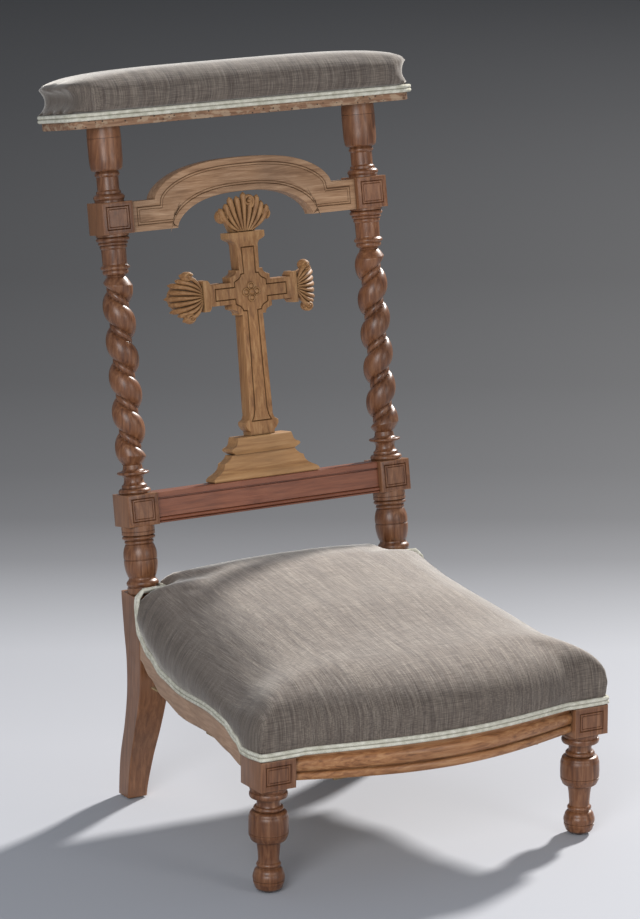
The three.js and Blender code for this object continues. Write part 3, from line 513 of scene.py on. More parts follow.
def twist_shell(side):
    """The twisted length of a post; the two posts turn opposite ways."""
    rings = []
    steps = 300
    for i in range(steps + 1):
        t = between(TWIST["start"], TWIST["end"], i / steps)
        ends = min(1.0, (t - TWIST["start"]) / TWIST["fade"], (TWIST["end"] - t) / TWIST["fade"])
        ceiling = TWIST["groove"] + 0.3 + (TWIST["crest"] - TWIST["groove"]) * max(0.0, ends) ** 0.8
        ring = []
        for angle in circle(72):
            turn = math.pi - angle if side > 0 else angle
            q = (turn / (2 * math.pi) + t / TWIST["pitch"] - TWIST["phase"]) % 1.0
            r = min(rope(q), ceiling)
            ring.append((r * math.cos(angle), r * math.sin(angle), t))
        rings.append(ring)
    return skin(rings)


# Rows of the rear leg: (height, front, rear, outer face, inner face).
REAR_LEG = [
    (POST["shoulder"], 108, 151, 206.1, 162.6), (221, 100, 143.6, 206.5, 163.5), (186, 97, 136.6, 207, 165),
    (144, 97.5, 134.5, 207.8, 167.5), (99, 107.5, 139, 209.5, 171.5), (53, 118.5, 149, 211, 178),
    (FOOT, 124.3, 152, 212, 184.7),
]


def leg_at(z):
    """Front, rear, outer and inner faces of the rear leg at a height, on a smooth line through the table."""
    rows = REAR_LEG
    z = min(max(z, rows[-1][0]), rows[0][0])
    i = next(i for i in range(len(rows) - 1) if z >= rows[i + 1][0])
    values = []
    for column in range(1, 5):
        p = [rows[min(max(i + k, 0), len(rows) - 1)] for k in (-1, 0, 1, 2)]
        u = (z - p[1][0]) / (p[2][0] - p[1][0])
        m1 = (p[2][column] - p[0][column]) / 2
        m2 = (p[3][column] - p[1][column]) / 2
        a, b = p[1][column], p[2][column]
        values.append(
            a * (2 * u ** 3 - 3 * u ** 2 + 1) + b * (3 * u ** 2 - 2 * u ** 3)
            + m1 * (u ** 3 - 2 * u ** 2 + u) + m2 * (u ** 3 - u ** 2)
        )
    return values


def rear_leg_shell(side):
    """The square leg below the shoulder, with softened corners; its top is level across the shoulder."""
    rings = []
    soft = 1.4
    steps = 60
    for i in range(steps + 1):
        z = between(FOOT, POST["shoulder"], i / steps)
        front, rear, outer, inner = leg_at(z)
        x0, x1 = sorted((side * outer, side * inner))
        rings.append([
            (x0 + soft, front, z), (x1 - soft, front, z), (x1, front + soft, z), (x1, rear - soft, z),
            (x1 - soft, rear, z), (x0 + soft, rear, z), (x0, rear - soft, z), (x0, front + soft, z),
        ])
    points, faces = skin(rings)
    back = STICK.inverted() @ CHAIR
    return [tuple(back @ Vector(p)) for p in points], faces


def make_posts():
    """Each back post is one stick: the rear leg, two square blocks and the turning between and above them."""
    half = POST["half"]
    for label, side in SIDES:
        x = side * POST["x"]
        shells = [rear_leg_shell(side), moved(twist_shell(side), x)]
        for profile in (BELOW_BLOCK, ABOVE_BLOCK, BELOW_UPPER, CUP):
            shells.append(moved(turned(profile), x))
        for low, high in (LOWER_BLOCK, UPPER_BLOCK):
            shells.append(box_shell(x - half, x + half, -half, half, low, high, 1.3, BLOCK_GROOVES))
        node = f"back_post_{label}"
        piece(f"post_{label}", shells, "polished_walnut", (node,), crease=30)


# ---- front legs ----
LEG_PROFILE = [
    (FOOT, 11.5, 0), (9, 17.6, 1.6), (14.4, 19.2, 0.4), (14.8, 18.5, 0), (15.4, 18.5, 0), (15.8, 19.3, 0),
    (24, 18.4, 0.8), (30.6, 14.4, 1.0), (31, 13.7, 0), (32, 13.7, 0), (37.4, 13.7, 1.5), (38, 13.0, 0),
    (47, 13.2, -0.3), (63.6, 15.4, -0.4), (64, 17.5, 0), (69, 22.6, 1.2), (74.6, 24.4, 0.4), (75, 23.8, 0),
    (75.7, 23.8, 0), (76, 24.4, 0), (91, 24.4, 0.2), (97.4, 23.2, 0.5), (102.6, 19.8, 1.0), (103, 17.2, 0),
    (108.5, 17.0, 1.4), (109, 15.2, 0), (113, 14.4, -0.3), (117.5, 14.6, 0), (118.2, 16, 0),
    (119.6, 20.5, -0.8), (120, 22.4, 0), (126.5, 22.8, 1.1), (127, 21.8, 0), (127.8, 21.8, 0),
    (134.2, 22.6, 1.0),
]


def make_front_legs():
    y, half_x, half_y = LEG["y"], LEG["half_x"], LEG["half_y"]
    for label, side in SIDES:
        x = side * LEG["x"]
        block = box_shell(x - half_x, x + half_x, y - half_y, y + half_y, *LEG["block"], 1.3, LEG_GROOVES)
        leg = moved(turned(LEG_PROFILE), x, y)
        node = f"front_leg_{label}"
        piece(f"leg_{label}", [leg, block], "polished_walnut", (node,), CHAIR, 30)


# ---- seat rails ----
# Edges of a side rail: (share of its length from the front, height).
RAIL_TOP = [(0, 181), (0.13, 192), (0.27, 194), (0.57, 188.5), (0.75, 193), (0.88, 206), (1, 224)]
RAIL_BOTTOM = [(0, 153), (0.12, 158.5), (0.29, 163.5), (0.58, 157.5), (0.78, 165), (0.9, 178), (1, 192)]
RAIL_HALF = LEG["x"] - LEG["half_x"] - 0.3
RAIL_FACE = LEG["y"] - LEG["half_y"] + FRONT_RAIL["set_back"]
# The moulding of the front rail: (forward of its face, share of its height), from the top edge down.
FRONT_MOULDING = [
    (0, 1), (0, 0.93), (-0.9, 0.905), (-2.6, 0.86), (-3, 0.82), (-1.6, 0.785), (0.3, 0.7), (1.2, 0.59),
    (0.9, 0.48), (-0.3, 0.385), (-1.6, 0.345), (-3.8, 0.33), (-4, 0.295), (-2.2, 0.28), (-0.6, 0.235),
    (0.2, 0.17), (0.1, 0.1), (-0.8, 0.03), (-2, 0),
]


def bow_at(x):
    u = x / RAIL_HALF
    return FRONT_RAIL["bow"] * (1 - u * u) * (1 - 0.25 * u * u)


def rise_at(x):
    """How much of the top edge's rise the front rail has here."""
    return max(0.0, 1 - (x / RAIL_HALF) ** 2)


def make_front_rail():
    rings = []
    steps = 64
    for i in range(steps + 1):
        x = between(-RAIL_HALF, RAIL_HALF, i / steps)
        low = FRONT_RAIL["bottom"] - 1.2 * rise_at(x)
        high = FRONT_RAIL["top"] + FRONT_RAIL["rise"] * rise_at(x)
        front = [(x, RAIL_FACE - bow_at(x) - out, between(low, high, share)) for out, share in FRONT_MOULDING]
        rear = RAIL_FACE - bow_at(x) * 0.8 + FRONT_RAIL["thickness"]
        rings.append(front + [(x, rear, low), (x, rear, high)])
    piece("rail_front", [skin(rings)], "front_rail_walnut", ("front_rail",), CHAIR, 40)


def make_side_rails():
    soft = 1.6
    for label, side in SIDES:
        rings = []
        steps = 70
        for i in range(steps + 1):
            u = i / steps
            y = between(SIDE_RAIL["front_y"] + 0.3, SIDE_RAIL["rear_y"] + 0.8, u)
            outer = side * between(SIDE_RAIL["front_x"], SIDE_RAIL["rear_x"], u)
            inner = outer - side * SIDE_RAIL["thickness"]
            low = eased(RAIL_BOTTOM, u)
            high = eased(RAIL_TOP, u)
            s = side * soft
            rings.append([
                (outer, y, low + soft), (outer, y, high), (inner, y, high), (inner, y, low + soft),
                (inner + s, y, low), (outer - s, y, low),
            ])
        node = f"side_rail_{label}"
        piece(f"rail_{label}", [skin(rings)], "pale_walnut", (node,), CHAIR, 40)


# ---- rails between the posts ----
RAIL_SPAN = POST["x"] - POST["half"] - 0.1
# Section of the lower rail: (off, t) all the way round, front face first.
LOWER_MOULDING = [
    (-14.2, 126.4), (-15.2, 125.4), (-15.2, 118.8), (-13.0, 118.2), (-13.0, 116.9), (-14.3, 116.2),
    (-14.3, 94.2), (-13.2, 93.6), (-14.9, 93.1), (-15.9, 92.2), (-16.2, 91.0), (-15.9, 89.8), (-14.9, 88.9),
    (-13.2, 88.5), (-15.2, 87.8), (-15.2, 87.0), (-14.4, 86.2), (8.0, 86.2), (8.8, 87.0), (8.8, 125.6),
    (8.0, 126.4),
]
ARCH = {"flat": 128.0, "foot": 98.0, "shoulder": 495.5, "crown": 538.5, "bottom": 456.5, "under": 495.0}


def arch_line(half, low, high):
    """Points along one edge of the arch, from left to right."""
    line = []
    steps = 48
    for i in range(steps + 1):
        x = -half * math.cos(math.pi * i / steps)
        line.append((x, low + (high - low) * max(0.0, 1 - (abs(x) / half) ** 2.6) ** 0.62))
    return line


def make_back_rails():
    rings = [[(x, off, t) for off, t in LOWER_MOULDING] for x in (-RAIL_SPAN, 0, RAIL_SPAN)]
    piece("rail_lower", [skin(rings)], "red_walnut", ("lower_cross_rail",))
    outer = arch_line(ARCH["flat"], ARCH["shoulder"], ARCH["crown"])
    inner = arch_line(ARCH["foot"], ARCH["bottom"], ARCH["under"])
    outline = [(-RAIL_SPAN, ARCH["bottom"])] + inner + [(RAIL_SPAN, ARCH["bottom"])]
    outline += [(RAIL_SPAN, ARCH["shoulder"])] + outer[::-1] + [(-RAIL_SPAN, ARCH["shoulder"])]
    arch = plate(outline, -15.5, 8.5, 1.0, ((6.6, 1.6, 1.3), (1.6, 1.4, 0.9)))
    piece("rail_arched", [arch], "dry_arch", ("arched_upper_rail",), crease=32)


# ---- the cross ----
def carve(made, path, width, depth, front):
    """Cut a V groove round a closed path of (x, z) into the front of a piece on the stick."""
    rings = []
    count = len(path)
    for i, (x, z) in enumerate(path):
        before = Vector(path[i - 1])
        after = Vector(path[(i + 1) % count])
        here = Vector((x, z))
        into = (here - before).normalized()
        onward = (after - here).normalized()
        across = Vector((into.y + onward.y, -into.x - onward.x)).normalized()
        mitre = min(2.0, 1 / max(0.3, across.dot(Vector((into.y, -into.x)))))
        left = here + across * width * mitre
        right = here - across * width * mitre
        rings.append([(left.x, front - 1, left.y), (right.x, front - 1, right.y), (x, front + depth, z)])
    cutter = piece("cutter", [skin(rings, True)], "iron")
    cut = made.modifiers.new("Groove", "BOOLEAN")
    cut.operation = "DIFFERENCE"
    cut.solver = "EXACT"
    cut.object = cutter
    bake(made)
    made.data.set_sharp_from_angle(angle=math.radians(30))
    bpy.data.objects.remove(cutter)


def make_cross():
    """The cross in one board with a carved panel line, and its rosette, foot and palmettes."""
    c = CROSS["centre"]
    front, rear = CROSS["front"], CROSS["rear"]
    body = mirrored([
        (17.5, CROSS["foot"] + 0.3), (17.5, 186), (20.5, 188.5), (24, 194), (24, 198.5), (18.5, 202),
        (16.6, 207), (16.8, 214), (14.9, c - 29), (19.5, c - 29), (19.5, c - 26.5), (21.5, c - 23.5),
        (26, c - 21.5), (29, c - 20.5), (29, c - 14), (58, c - 14), (58, c - 16), (61, c - 20), (68, c - 20),
        (68, c + 20), (61, c + 20), (58, c + 16), (58, c + 14), (29, c + 14), (29, c + 20.5), (26, c + 21.5),
        (21.5, c + 23.5), (19.5, c + 26.5), (19.5, c + 29), (14.8, c + 29), (15.4, 426), (17.5, 430),
        (24, 433), (26.5, 435), (26.5, CROSS["head"]),
    ])
    cross = piece("cross", [plate(body, front, rear, 0.9)], "dry_upright",
                  ("cross_upright", "cross_bar"), crease=32)
    panel = mirrored([
        (14, 199.5), (10.8, 206), (8.8, 216), (7.2, c - 24), (13, c - 23.4), (13.8, c - 20.6),
        (16.5, c - 17.5), (21.5, c - 15), (23, c - 13.8), (23, c - 7.5), (51.5, c - 7.5), (51.5, c + 7.5),
        (23, c + 7.5), (23, c + 13.8), (21.5, c + 15), (16.5, c + 17.5), (13.8, c + 20.6), (13, c + 23.4),
        (8.5, c + 24), (9, 423),
    ])
    carve(cross, panel, 1.35, 1.9, front)
    make_rosette(front)
    make_foot(front, rear)
    make_palmettes(front)


def ball(centre, radii, rows=10, sides=20):
    """A ball squashed to three radii, with its poles at the front and back."""
    rings = []
    for i in range(1, rows):
        polar = math.pi * i / rows
        rings.append([
            (centre[0] + radii[0] * math.sin(polar) * math.cos(a), centre[1] - radii[1] * math.cos(polar),
             centre[2] + radii[2] * math.sin(polar) * math.sin(a))
            for a in circle(sides)
        ])
    return skin(rings)


def ring_shell(centre, radius, thickness):
    """A round rim that stands on the front face."""
    rings = []
    for a in circle(24):
        middle = (centre[0] + radius * math.cos(a), centre[1], centre[2] + radius * math.sin(a))
        rings.append([
            (middle[0] + thickness * math.cos(b) * math.cos(a), middle[1] + 2 * thickness * math.sin(b),
             middle[2] + thickness * math.cos(b) * math.sin(a))
            for b in circle(8)
        ])
    return skin(rings, True)


def make_rosette(front):
    """A boss with four round petals, each in a raised rim."""
    c = CROSS["centre"]
    shells = [ball((0, front - 1.2, c), (4.2, 4.2, 4.2))]
    for a in circle(4):
        x, z = 7.6 * math.cos(a), c + 7.6 * math.sin(a)
        shells.append(ball((x, front, z), (3.6, 2.2, 3.6)))
        shells.append(ring_shell((x, front, z), 4.3, 1.1))
    piece("rosette", shells, "dry_cross", ("cross_rosette",))


def stepped(profile, front, rear):
    """A moulded block: each stop is (half width, height, how far its front stands proud)."""
    rings = []
    for half, z, out in profile:
        rings.append([(-half, front - out, z), (half, front - out, z), (half, rear, z), (-half, rear, z)])
    return skin(rings)


FOOT_STEP = [
    (40, 159, 1), (43, 159.6, 2.4), (49, 163.6, 5), (50, 165.2, 5.6), (49, 167.4, 5.6), (43.5, 169.5, 5.2),
    (41.2, 172, 5), (40, 176, 4.8), (39, 180, 4.4), (38, 181, 3.4),
]
FOOT_BASE = [
    (76, 126.8, 1.8), (77, 128, 2.4), (76.6, 130.6, 2.4), (73.5, 133.4, 1.6), (68, 136, 0.4),
    (63.5, 138.6, -0.8), (59.5, 142.4, -1.6), (58, 146.2, -2), (57.5, 149, -2), (53, 151, -2.2),
    (49, 154, -2.4), (46.6, 157, -2.5), (46, 158.7, -2.6),
]


def make_foot(front, rear):
    """The cross stands on a small moulded step and a wider base."""
    for name, profile in (("foot_step", FOOT_STEP), ("foot_base", FOOT_BASE)):
        block = stepped(profile, front, rear)
        piece(name, [block], "dry_cross", (f"cross_{name}",), crease=24)


def leaf(base, tip, bend, width, height, lift):
    """A rounded leaf from base to tip in X and Z, bowed sideways by bend; lift(share) is its place in y."""
    rings = []
    steps = 14
    along = Vector((tip[0] - base[0], tip[1] - base[1]))
    across = Vector((-along.y, along.x)).normalized()
    for i in range(steps + 1):
        u = i / steps
        centre = Vector(base) + along * u + across * bend * math.sin(math.pi * u)
        w = width * (0.3 + 0.7 * u) * math.sqrt(max(0.0, 1 - max(0.0, (u - 0.78) / 0.22) ** 2)) + 0.15
        h = height * (0.55 + 0.45 * u) * math.sqrt(max(0.0, 1 - max(0.0, (u - 0.86) / 0.14) ** 2)) + 0.15
        y = lift(u)
        ring = []
        for a in circle(14):
            edge = centre + across * w * math.cos(a)
            ring.append((edge.x, y + h * math.sin(a), edge.y))
        rings.append(ring)
    return skin(rings)


def volute(centre, radius, turn, y, thickness):
    """A spiral scroll in X and Z that tightens to its eye."""
    rings = []
    steps = 40
    for i in range(steps + 1):
        u = i / steps
        angle = turn * (math.radians(-70) + u * math.radians(500))
        reach = radius * (1 - 0.82 * u)
        w = thickness * (1 - 0.45 * u)
        direction = Vector((math.cos(angle), math.sin(angle)))
        rings.append([
            (centre[0] + direction.x * (reach + w * math.cos(a)), y - 2.5 * u + w * 1.3 * math.sin(a),
             centre[1] + direction.y * (reach + w * math.cos(a)))
            for a in circle(10)
        ])
    return [skin(rings), ball((centre[0], y - 3.0, centre[1]), (radius * 0.3, 3.0, radius * 0.3))]


def palmette_shells(height, half_width, sweep, leaves, front):
    """A fan of reeded leaves with a volute at each side, drawn upright with its root at the origin."""
    shells = []

    def curl(z):
        """How far the carving has swept back at a height."""
        return sweep * max(0.0, z / height - 0.12) ** 2 / 0.77

    for i in range(leaves):
        u = i / (leaves - 1) * 2 - 1
        angle = math.radians(62 * u)
        reach = 1.0 if i % 2 == 0 else 0.93
        rise = 0.1 + 0.9 * math.cos(angle * 0.86) * reach
        tip = (half_width * 1.04 * math.sin(angle) * reach, height * rise)
        base = (half_width * 0.24 * u, height * 0.02)

        def lift(share, low=base[1], high=tip[1]):
            return front + 5 + curl(between(low, high, share)) - 2.4 * math.sin(math.pi * share)

        shells.append(leaf(base, tip, -half_width * 0.12 * u, half_width * 0.125, 5.2, lift))
    for turn in (-1, 1):
        x, z = turn * half_width * 0.8, height * 0.42
        shells += volute((x, z), half_width * 0.17, turn, front + 3.5 + curl(z), 2.3)
        shells.append(ball((x, front + 9 + curl(z), z), (half_width * 0.22, 9, half_width * 0.24)))
    backing = []
    for degrees in range(70, -71, -5):
        a = math.radians(degrees)
        backing.append((half_width * 0.72 * math.sin(a), height * (0.08 + 0.74 * math.cos(a * 0.86))))
    backing += [(-half_width * 0.42, 0), (half_width * 0.42, 0)]
    points, faces = plate(backing, front + 6, CROSS["rear"], 0.8)
    shells.append(([(x, y + curl(z), z) for x, y, z in points], faces))
    return shells


def make_palmettes(front):
    """One palmette on the head, leaning forward, and one on each arm, on its side and swept back."""
    height = CROSS["tip"] - CROSS["head"]
    top = palmette_shells(height, 38, -4, 9, front)
    top += volute((6, height * 0.76), 8.5, 1, front + 0.5, 2.6)
    shells = [moved(shell, dz=CROSS["head"] + 0.3) for shell in top]
    piece("palmette_head", shells, "dry_upright", ("palmette_top",))
    arm = palmette_shells(41, 33, 30, 9, front)
    for label, side in SIDES:
        shells = []
        for points, faces in arm:
            shells.append(([(side * (z + 68.2), y, CROSS["centre"] - side * x) for x, y, z in points], faces))
        piece(f"palmette_arm_{label}", shells, "dry_cross", (f"palmette_{label}",))


# ---- upholstery ----
def pad_outline():
    """The lower edge of the seat pad from its rear right corner round the front: (x, y, height)."""
    front_x, rear_x = SIDE_RAIL["front_x"] + 1, SIDE_RAIL["rear_x"] + 0.5
    front_y = LEG["y"] - LEG["half_y"]
    right = []
    steps = 40
    for i in range(steps):
        y = between(front_y + 14, SIDE_RAIL["rear_y"], 1 - i / steps)
        place = (y - SIDE_RAIL["front_y"]) / (SIDE_RAIL["rear_y"] - SIDE_RAIL["front_y"])
        z = eased(RAIL_TOP, place) if place > -0.02 else LEG["block"][1]
        right.append((between(front_x, rear_x, max(0.0, place)), y, z))
    front = []
    steps = 60
    for i in range(steps + 1):
        x = between(front_x - 4, -front_x + 4, i / steps)
        bow = max(0.0, bow_at(x) - 3.5) if abs(x) < RAIL_HALF else 0.0
        front.append((x, front_y + 3 - bow, FRONT_RAIL["top"] + FRONT_RAIL["rise"] * rise_at(x)))
    return right + front + [(-x, y, z) for x, y, z in reversed(right)]


def top_at(x, y):
    """Height of the crowned seat: highest along its middle, falling to the front and to its side edges."""
    across = 1 - min(1.0, abs(x) / 250) ** 2.2
    front = between(247, 253, across)
    rear = eased([(-330, 0), (139, 34)], y)
    side_drop = eased([(-290, 4), (-200, 20), (0, 20), (85, 0)], y) * min(1.0, abs(x) / 235) ** 5
    crown = SEAT_CROWN * eased([(-330, 0), (-220, 0.42), (-80, 0.86), (50, 1), (139, 0.72)], y) * across
    return front + rear + crown - side_drop


# How the pad's wall rises: (inset, share of the height) from the lower edge to the flat of the crown.
PAD_WALL = [
    (0, 0), (-2, 0.1), (-4.6, 0.22), (-6.4, 0.35), (-6.4, 0.48), (-4, 0.6), (1, 0.71), (8.5, 0.81),
    (18, 0.89), (31, 0.945), (47, 0.98), (70, 1),
]


def pad_shell():
    """The seat pad: rings that climb its wall, then close over its crown."""
    foot = BACK_RAIL_TOP + 0.4
    rear = [(-160.5, 99.5, foot), (-160.5, PAD_REAR, foot)]
    rear += [(between(-150, 150, i / 20), PAD_REAR, foot) for i in range(21)]
    rear += [(160.5, PAD_REAR, foot), (160.5, 99.5, foot)]
    edge = pad_outline() + rear

    def shrunk(x, y, share):
        """A point brought towards the middle of the pad."""
        return x * share, PAD_MIDDLE + (y - PAD_MIDDLE) * share

    def ring_of(inset, lift):
        """The edge brought in by inset and raised to a share of the height of the crown above it."""
        ring = []
        for x, y, z in edge:
            roll = eased([(-290, 1.0), (-190, 1.25), (60, 1.25), (120, 0.8)], y) if inset > 0 else 1.0
            px, py = shrunk(x, y, 1 - min(inset * roll, 100) / math.hypot(x, y - PAD_MIDDLE))
            pz = between(z + 0.5, top_at(px, py), lift)
            beside_post = abs(x) > 155 and y > 90
            ring.append((px, py + 0.12 * (pz - 228) if beside_post else py, pz))
        return ring

    rings = [[(*shrunk(x, y, 0.88), z) for x, y, z in ring_of(0, 0)]]
    rings += [ring_of(inset, lift) for inset, lift in PAD_WALL]
    for share in (0.78, 0.55, 0.33, 0.14):
        flat = [shrunk(x, y, share) for x, y, _ in rings[len(PAD_WALL)]]
        rings.append([(x, y, top_at(x, y)) for x, y in flat])
    return skin(rings)


def plump(made, voxel, pressure, cap, pinned):
    """Puff a pad with cloth simulation: pinned(point) is true where the cover is nailed down.

    voxel is the size of the cover's mesh and cap is the most that a point may move, both in millimetres.
    """
    scene = bpy.context.scene
    remesh = made.modifiers.new("Remesh", "REMESH")
    remesh.mode = "VOXEL"
    remesh.voxel_size = voxel * MM
    bake(made)
    before = [v.co.copy() for v in made.data.vertices]
    group = made.vertex_groups.new(name="nailed")
    group.add([v.index for v in made.data.vertices if pinned(v.co)], 1.0, "REPLACE")
    cloth = made.modifiers.new("Cloth", "CLOTH")
    settings = cloth.settings
    settings.use_pressure = True
    settings.uniform_pressure_force = pressure
    settings.vertex_group_mass = "nailed"
    settings.tension_stiffness = 25
    settings.compression_stiffness = 25
    settings.bending_stiffness = 2
    settings.effector_weights.gravity = 0
    for number in range(1, CLOTH_FRAMES + 1):
        scene.frame_set(number)
    bake(made)
    for vertex, start in zip(made.data.vertices, before):
        shift = vertex.co - start
        if shift.length > cap * MM:
            vertex.co = start + shift.normalized() * cap * MM
    scene.frame_set(1)
    made.vertex_groups.clear()
    smooth = made.modifiers.new("Smooth", "SMOOTH")
    smooth.factor = 0.5
    smooth.iterations = 2
    fine = made.modifiers.new("Subdivision", "SUBSURF")
    fine.levels = 1
    fine.render_levels = 1
    bake(made)
    made.data.shade_smooth()


def bake(made):
    """Apply every modifier of an object to its mesh."""
    graph = bpy.context.evaluated_depsgraph_get()
    graph.update()
    fresh = bpy.data.meshes.new_from_object(made.evaluated_get(graph))
    made.modifiers.clear()
    old = made.data
    made.data = fresh
    bpy.data.meshes.remove(old)


def make_seat():
    """The seat's cover, nailed along its lower edge and held down where it meets the posts."""
    seat = piece("seat_cushion", [pad_shell()], "seat_linen", ("seat_pad",), CHAIR)
    edge = pad_outline()

    def nailed(point):
        x, y, z = point.x / MM, point.y / MM - SHIFT, point.z / MM
        nearest = min(edge, key=lambda e: (abs(e[0]) - abs(x)) ** 2 + (e[1] - y) ** 2)
        return z < nearest[2] + 12 or y > 96

    plump(seat, 6.0, 4.0, 2.0, nailed)


def seat_welt_stops():
    """Stops of the welt: along the pad's lower edge, then up and round the front of each post."""
    edge = pad_outline()
    stops = []
    for i, (x, y, z) in enumerate(edge):
        a = Vector(edge[max(0, i - 1)])
        b = Vector(edge[min(len(edge) - 1, i + 1)])
        out = Vector((a.y - b.y, b.x - a.x, 0)).normalized()
        if out.dot(Vector((x, y - PAD_MIDDLE, 0))) < 0:
            out = -out
        stops.append((Vector((x, y, z + 0.7)), out, Vector((0, 0, 1))))

    def climb(side):
        """From the back rail, along the post's inner side, across its front and down its outer edge."""
        outer = side * (SIDE_RAIL["rear_x"] + 0.8)
        up = Vector((0, 0, 1))
        forward = Vector((0, -1, 0.12)).normalized()
        out = Vector((side, 0, 0))
        return [
            (Vector((side * 163.0, 138, 262)), Vector((side, 0, 0.3)), up),
            (Vector((side * 163.0, 122, 272)), Vector((side, 0, 0.6)), up),
            (Vector((side * 164.5, 108, 276)), Vector((side * 0.8, 0.4, 0.5)), Vector((0, -0.6, 0.8))),
            (Vector((side * 170.0, 105, 277)), Vector((0, 0.6, 0.8)), Vector((0, -0.8, 0.6))),
            (Vector((side * 186.0, 105.5, 277)), Vector((0, 0.6, 0.8)), Vector((0, -0.8, 0.6))),
            (Vector((side * 199.0, 105.5, 276.5)), Vector((side * 0.3, 0.5, 0.8)), Vector((0, -0.8, 0.6))),
            (Vector((outer - side * 1.5, 105.6, 272)), Vector((side * 0.8, 0.2, 0.5)), forward),
            (Vector((outer, 104.5, 262)), out, forward),
            (Vector((outer, 101.5, 243)), out, forward),
            (Vector((outer, 99.2, 232)), out, Vector((0, -0.9, 0.3)).normalized()),
            (Vector((outer, 96.5, 226.5)), out, Vector((0, -0.6, 0.8))),
        ]

    return climb(1) + stops[1:-1] + climb(-1)[::-1]


def dense_stops(stops, spacing=3.0):
    """The same stops every few millimetres, with their directions turning smoothly."""
    fine = []
    for start, end in zip(stops, stops[1:]):
        steps = max(1, int((end[0] - start[0]).length / spacing))
        for s in range(steps):
            fine.append(tuple(a.lerp(b, s / steps) for a, b in zip(start, end)))
    fine.append(stops[-1])
    return [(place, out.normalized(), up.normalized()) for place, out, up in fine]


def double_cord(stops, closed):
    """Two cords side by side, with the tape that joins them."""
    shells = [tube(stops, CORD, lift, CORD + 0.1, closed, 14) for lift in (CORD, 3 * CORD - 0.15)]
    shells.append(tube(stops, 1.4, 2 * CORD - 0.1, CORD - 1.2, closed, 8))
    return shells


def make_seat_welt():
    up = Vector((0, 0, 1))
    rear = [(Vector((x, PAD_REAR + 0.3, BACK_RAIL_TOP + 0.6)), Vector((0, 1, 0)), up) for x in (-159, 159)]
    for ending, stops in (("seat", seat_welt_stops()), ("seat_rear", rear)):
        node = ending.replace("seat", "seat_welt")
        cords = double_cord(dense_stops(stops), False)
        piece(f"welt_{ending}", cords, "welt_cord", (node,), CHAIR, 60)


# ---- arm rest ----
def rest_outline(grow):
    """The rounded outline of the arm rest in X and off."""
    steps = 12
    r = REST["corner"] + grow
    x1 = REST["length"] / 2 + grow
    y0 = -REST["front"] - grow
    y1 = REST["back"] + grow
    points = []
    corners = ((x1 - r, y0 + r, -90), (x1 - r, y1 - r, 0), (-x1 + r, y1 - r, 90), (-x1 + r, y0 + r, 180))
    for cx, cy, start in corners:
        for i in range(steps + 1):
            a = math.radians(start + 90 * i / steps)
            points.append((cx + r * math.cos(a), cy + r * math.sin(a)))
    return points


def long_outline(grow):
    """The outline with extra points on its long edges."""
    corners = rest_outline(grow)
    points = []
    for i, (x, y) in enumerate(corners):
        points.append((x, y))
        nx, ny = corners[(i + 1) % len(corners)]
        steps = int(math.hypot(nx - x, ny - y) / 12)
        for s in range(1, steps):
            points.append((between(x, nx, s / steps), between(y, ny, s / steps)))
    return points


# How the arm rest's wall rises: (inset, share of the height).
REST_WALL = [
    (0, 0), (-4, 0.1), (-7.5, 0.22), (-9.6, 0.36), (-9.4, 0.5), (-6.6, 0.63), (-1.5, 0.75), (5.5, 0.855),
    (14, 0.925), (24, 0.968), (35, 0.99), (48, 1),
]


def make_rest_board():
    low, high = BOARD
    rings = []
    for z, grow in ((low + 0.2, -1.2), (low + 1.2, -0.1), (high - 2, 0), (high - 0.2, -1)):
        ring = []
        for x, y in long_outline(grow):
            wobble = 0.5 * noise.noise(Vector((x * 0.08, y * 0.08, z * 0.2)))
            ring.append((x + wobble * (1 if x > 0 else -1), y + wobble * (1 if y > 12 else -1), z))
        rings.append(ring)
    piece("rest_board", [skin(rings)], "bare_board", ("arm_rest_board",), crease=50)


def make_rest_welt(base):
    line = long_outline(0.3)
    stops = []
    for i, (x, y) in enumerate(line):
        a = line[i - 1]
        b = line[(i + 1) % len(line)]
        out = Vector((b[1] - a[1], a[0] - b[0], 0)).normalized()
        stops.append((Vector((x, y, base)), out, Vector((0, 0, 1))))
    piece("welt_rest", double_cord(stops, True), "welt_cord", ("arm_rest_welt",), crease=60)


def make_rest_pad(foot):
    """The padded top, whose ends bulge and stand a little lower than its middle."""
    middle = (REST["back"] - REST["front"]) / 2
    rings = []
    for inset, lift in REST_WALL:
        end_inset = inset * 1.7 if inset < 0 else inset
        ring = []
        for x, y in long_outline(5):
            px = x - math.copysign(end_inset * min(1.0, abs(x) / 60), x)
            py = middle + (y - middle) * (1 - inset / 64)
            ends = 1 - 0.2 * (abs(px) / 245) ** 4
            ring.append((px, py, foot + REST["crown"] * lift * ends))
        rings.append(ring)
    pad = piece("rest_cushion", [skin(rings)], "linen", ("arm_rest_pad",))
    back = STICK.inverted()
    plump(pad, 5.0, 4.0, 1.2, lambda point: (back @ point).z < foot + 7)


def make_rest():
    base = BOARD[0] + REST["bare"]
    make_rest_board()
    make_rest_welt(base)
    make_rest_pad(base + 4 * CORD - 0.2)


# ---- under the seat ----
def make_underside():
    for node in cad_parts:
        if node.startswith("webbing"):
            dress(node, "jute_webbing", 0.3)
        elif node.startswith("corner_brace") or node == "back_rail":
            dress(node, "beech", 1.0)
        elif node.startswith("glide"):
            dress(node, "iron", 0.8)
    make_hessian()
    make_tacks()


def dress(node, finish, bevel):
    """Give a CAD node its material and soft edges."""
    made = bpy.data.objects[node]
    if made.material_slots:
        made.material_slots[0].material = FINISH[finish]
    else:
        made.data.materials.append(FINISH[finish])
    soft = made.modifiers.new("Soft edges", "BEVEL")
    soft.width = bevel * MM
    soft.segments = 2
    soft.limit_method = "ANGLE"


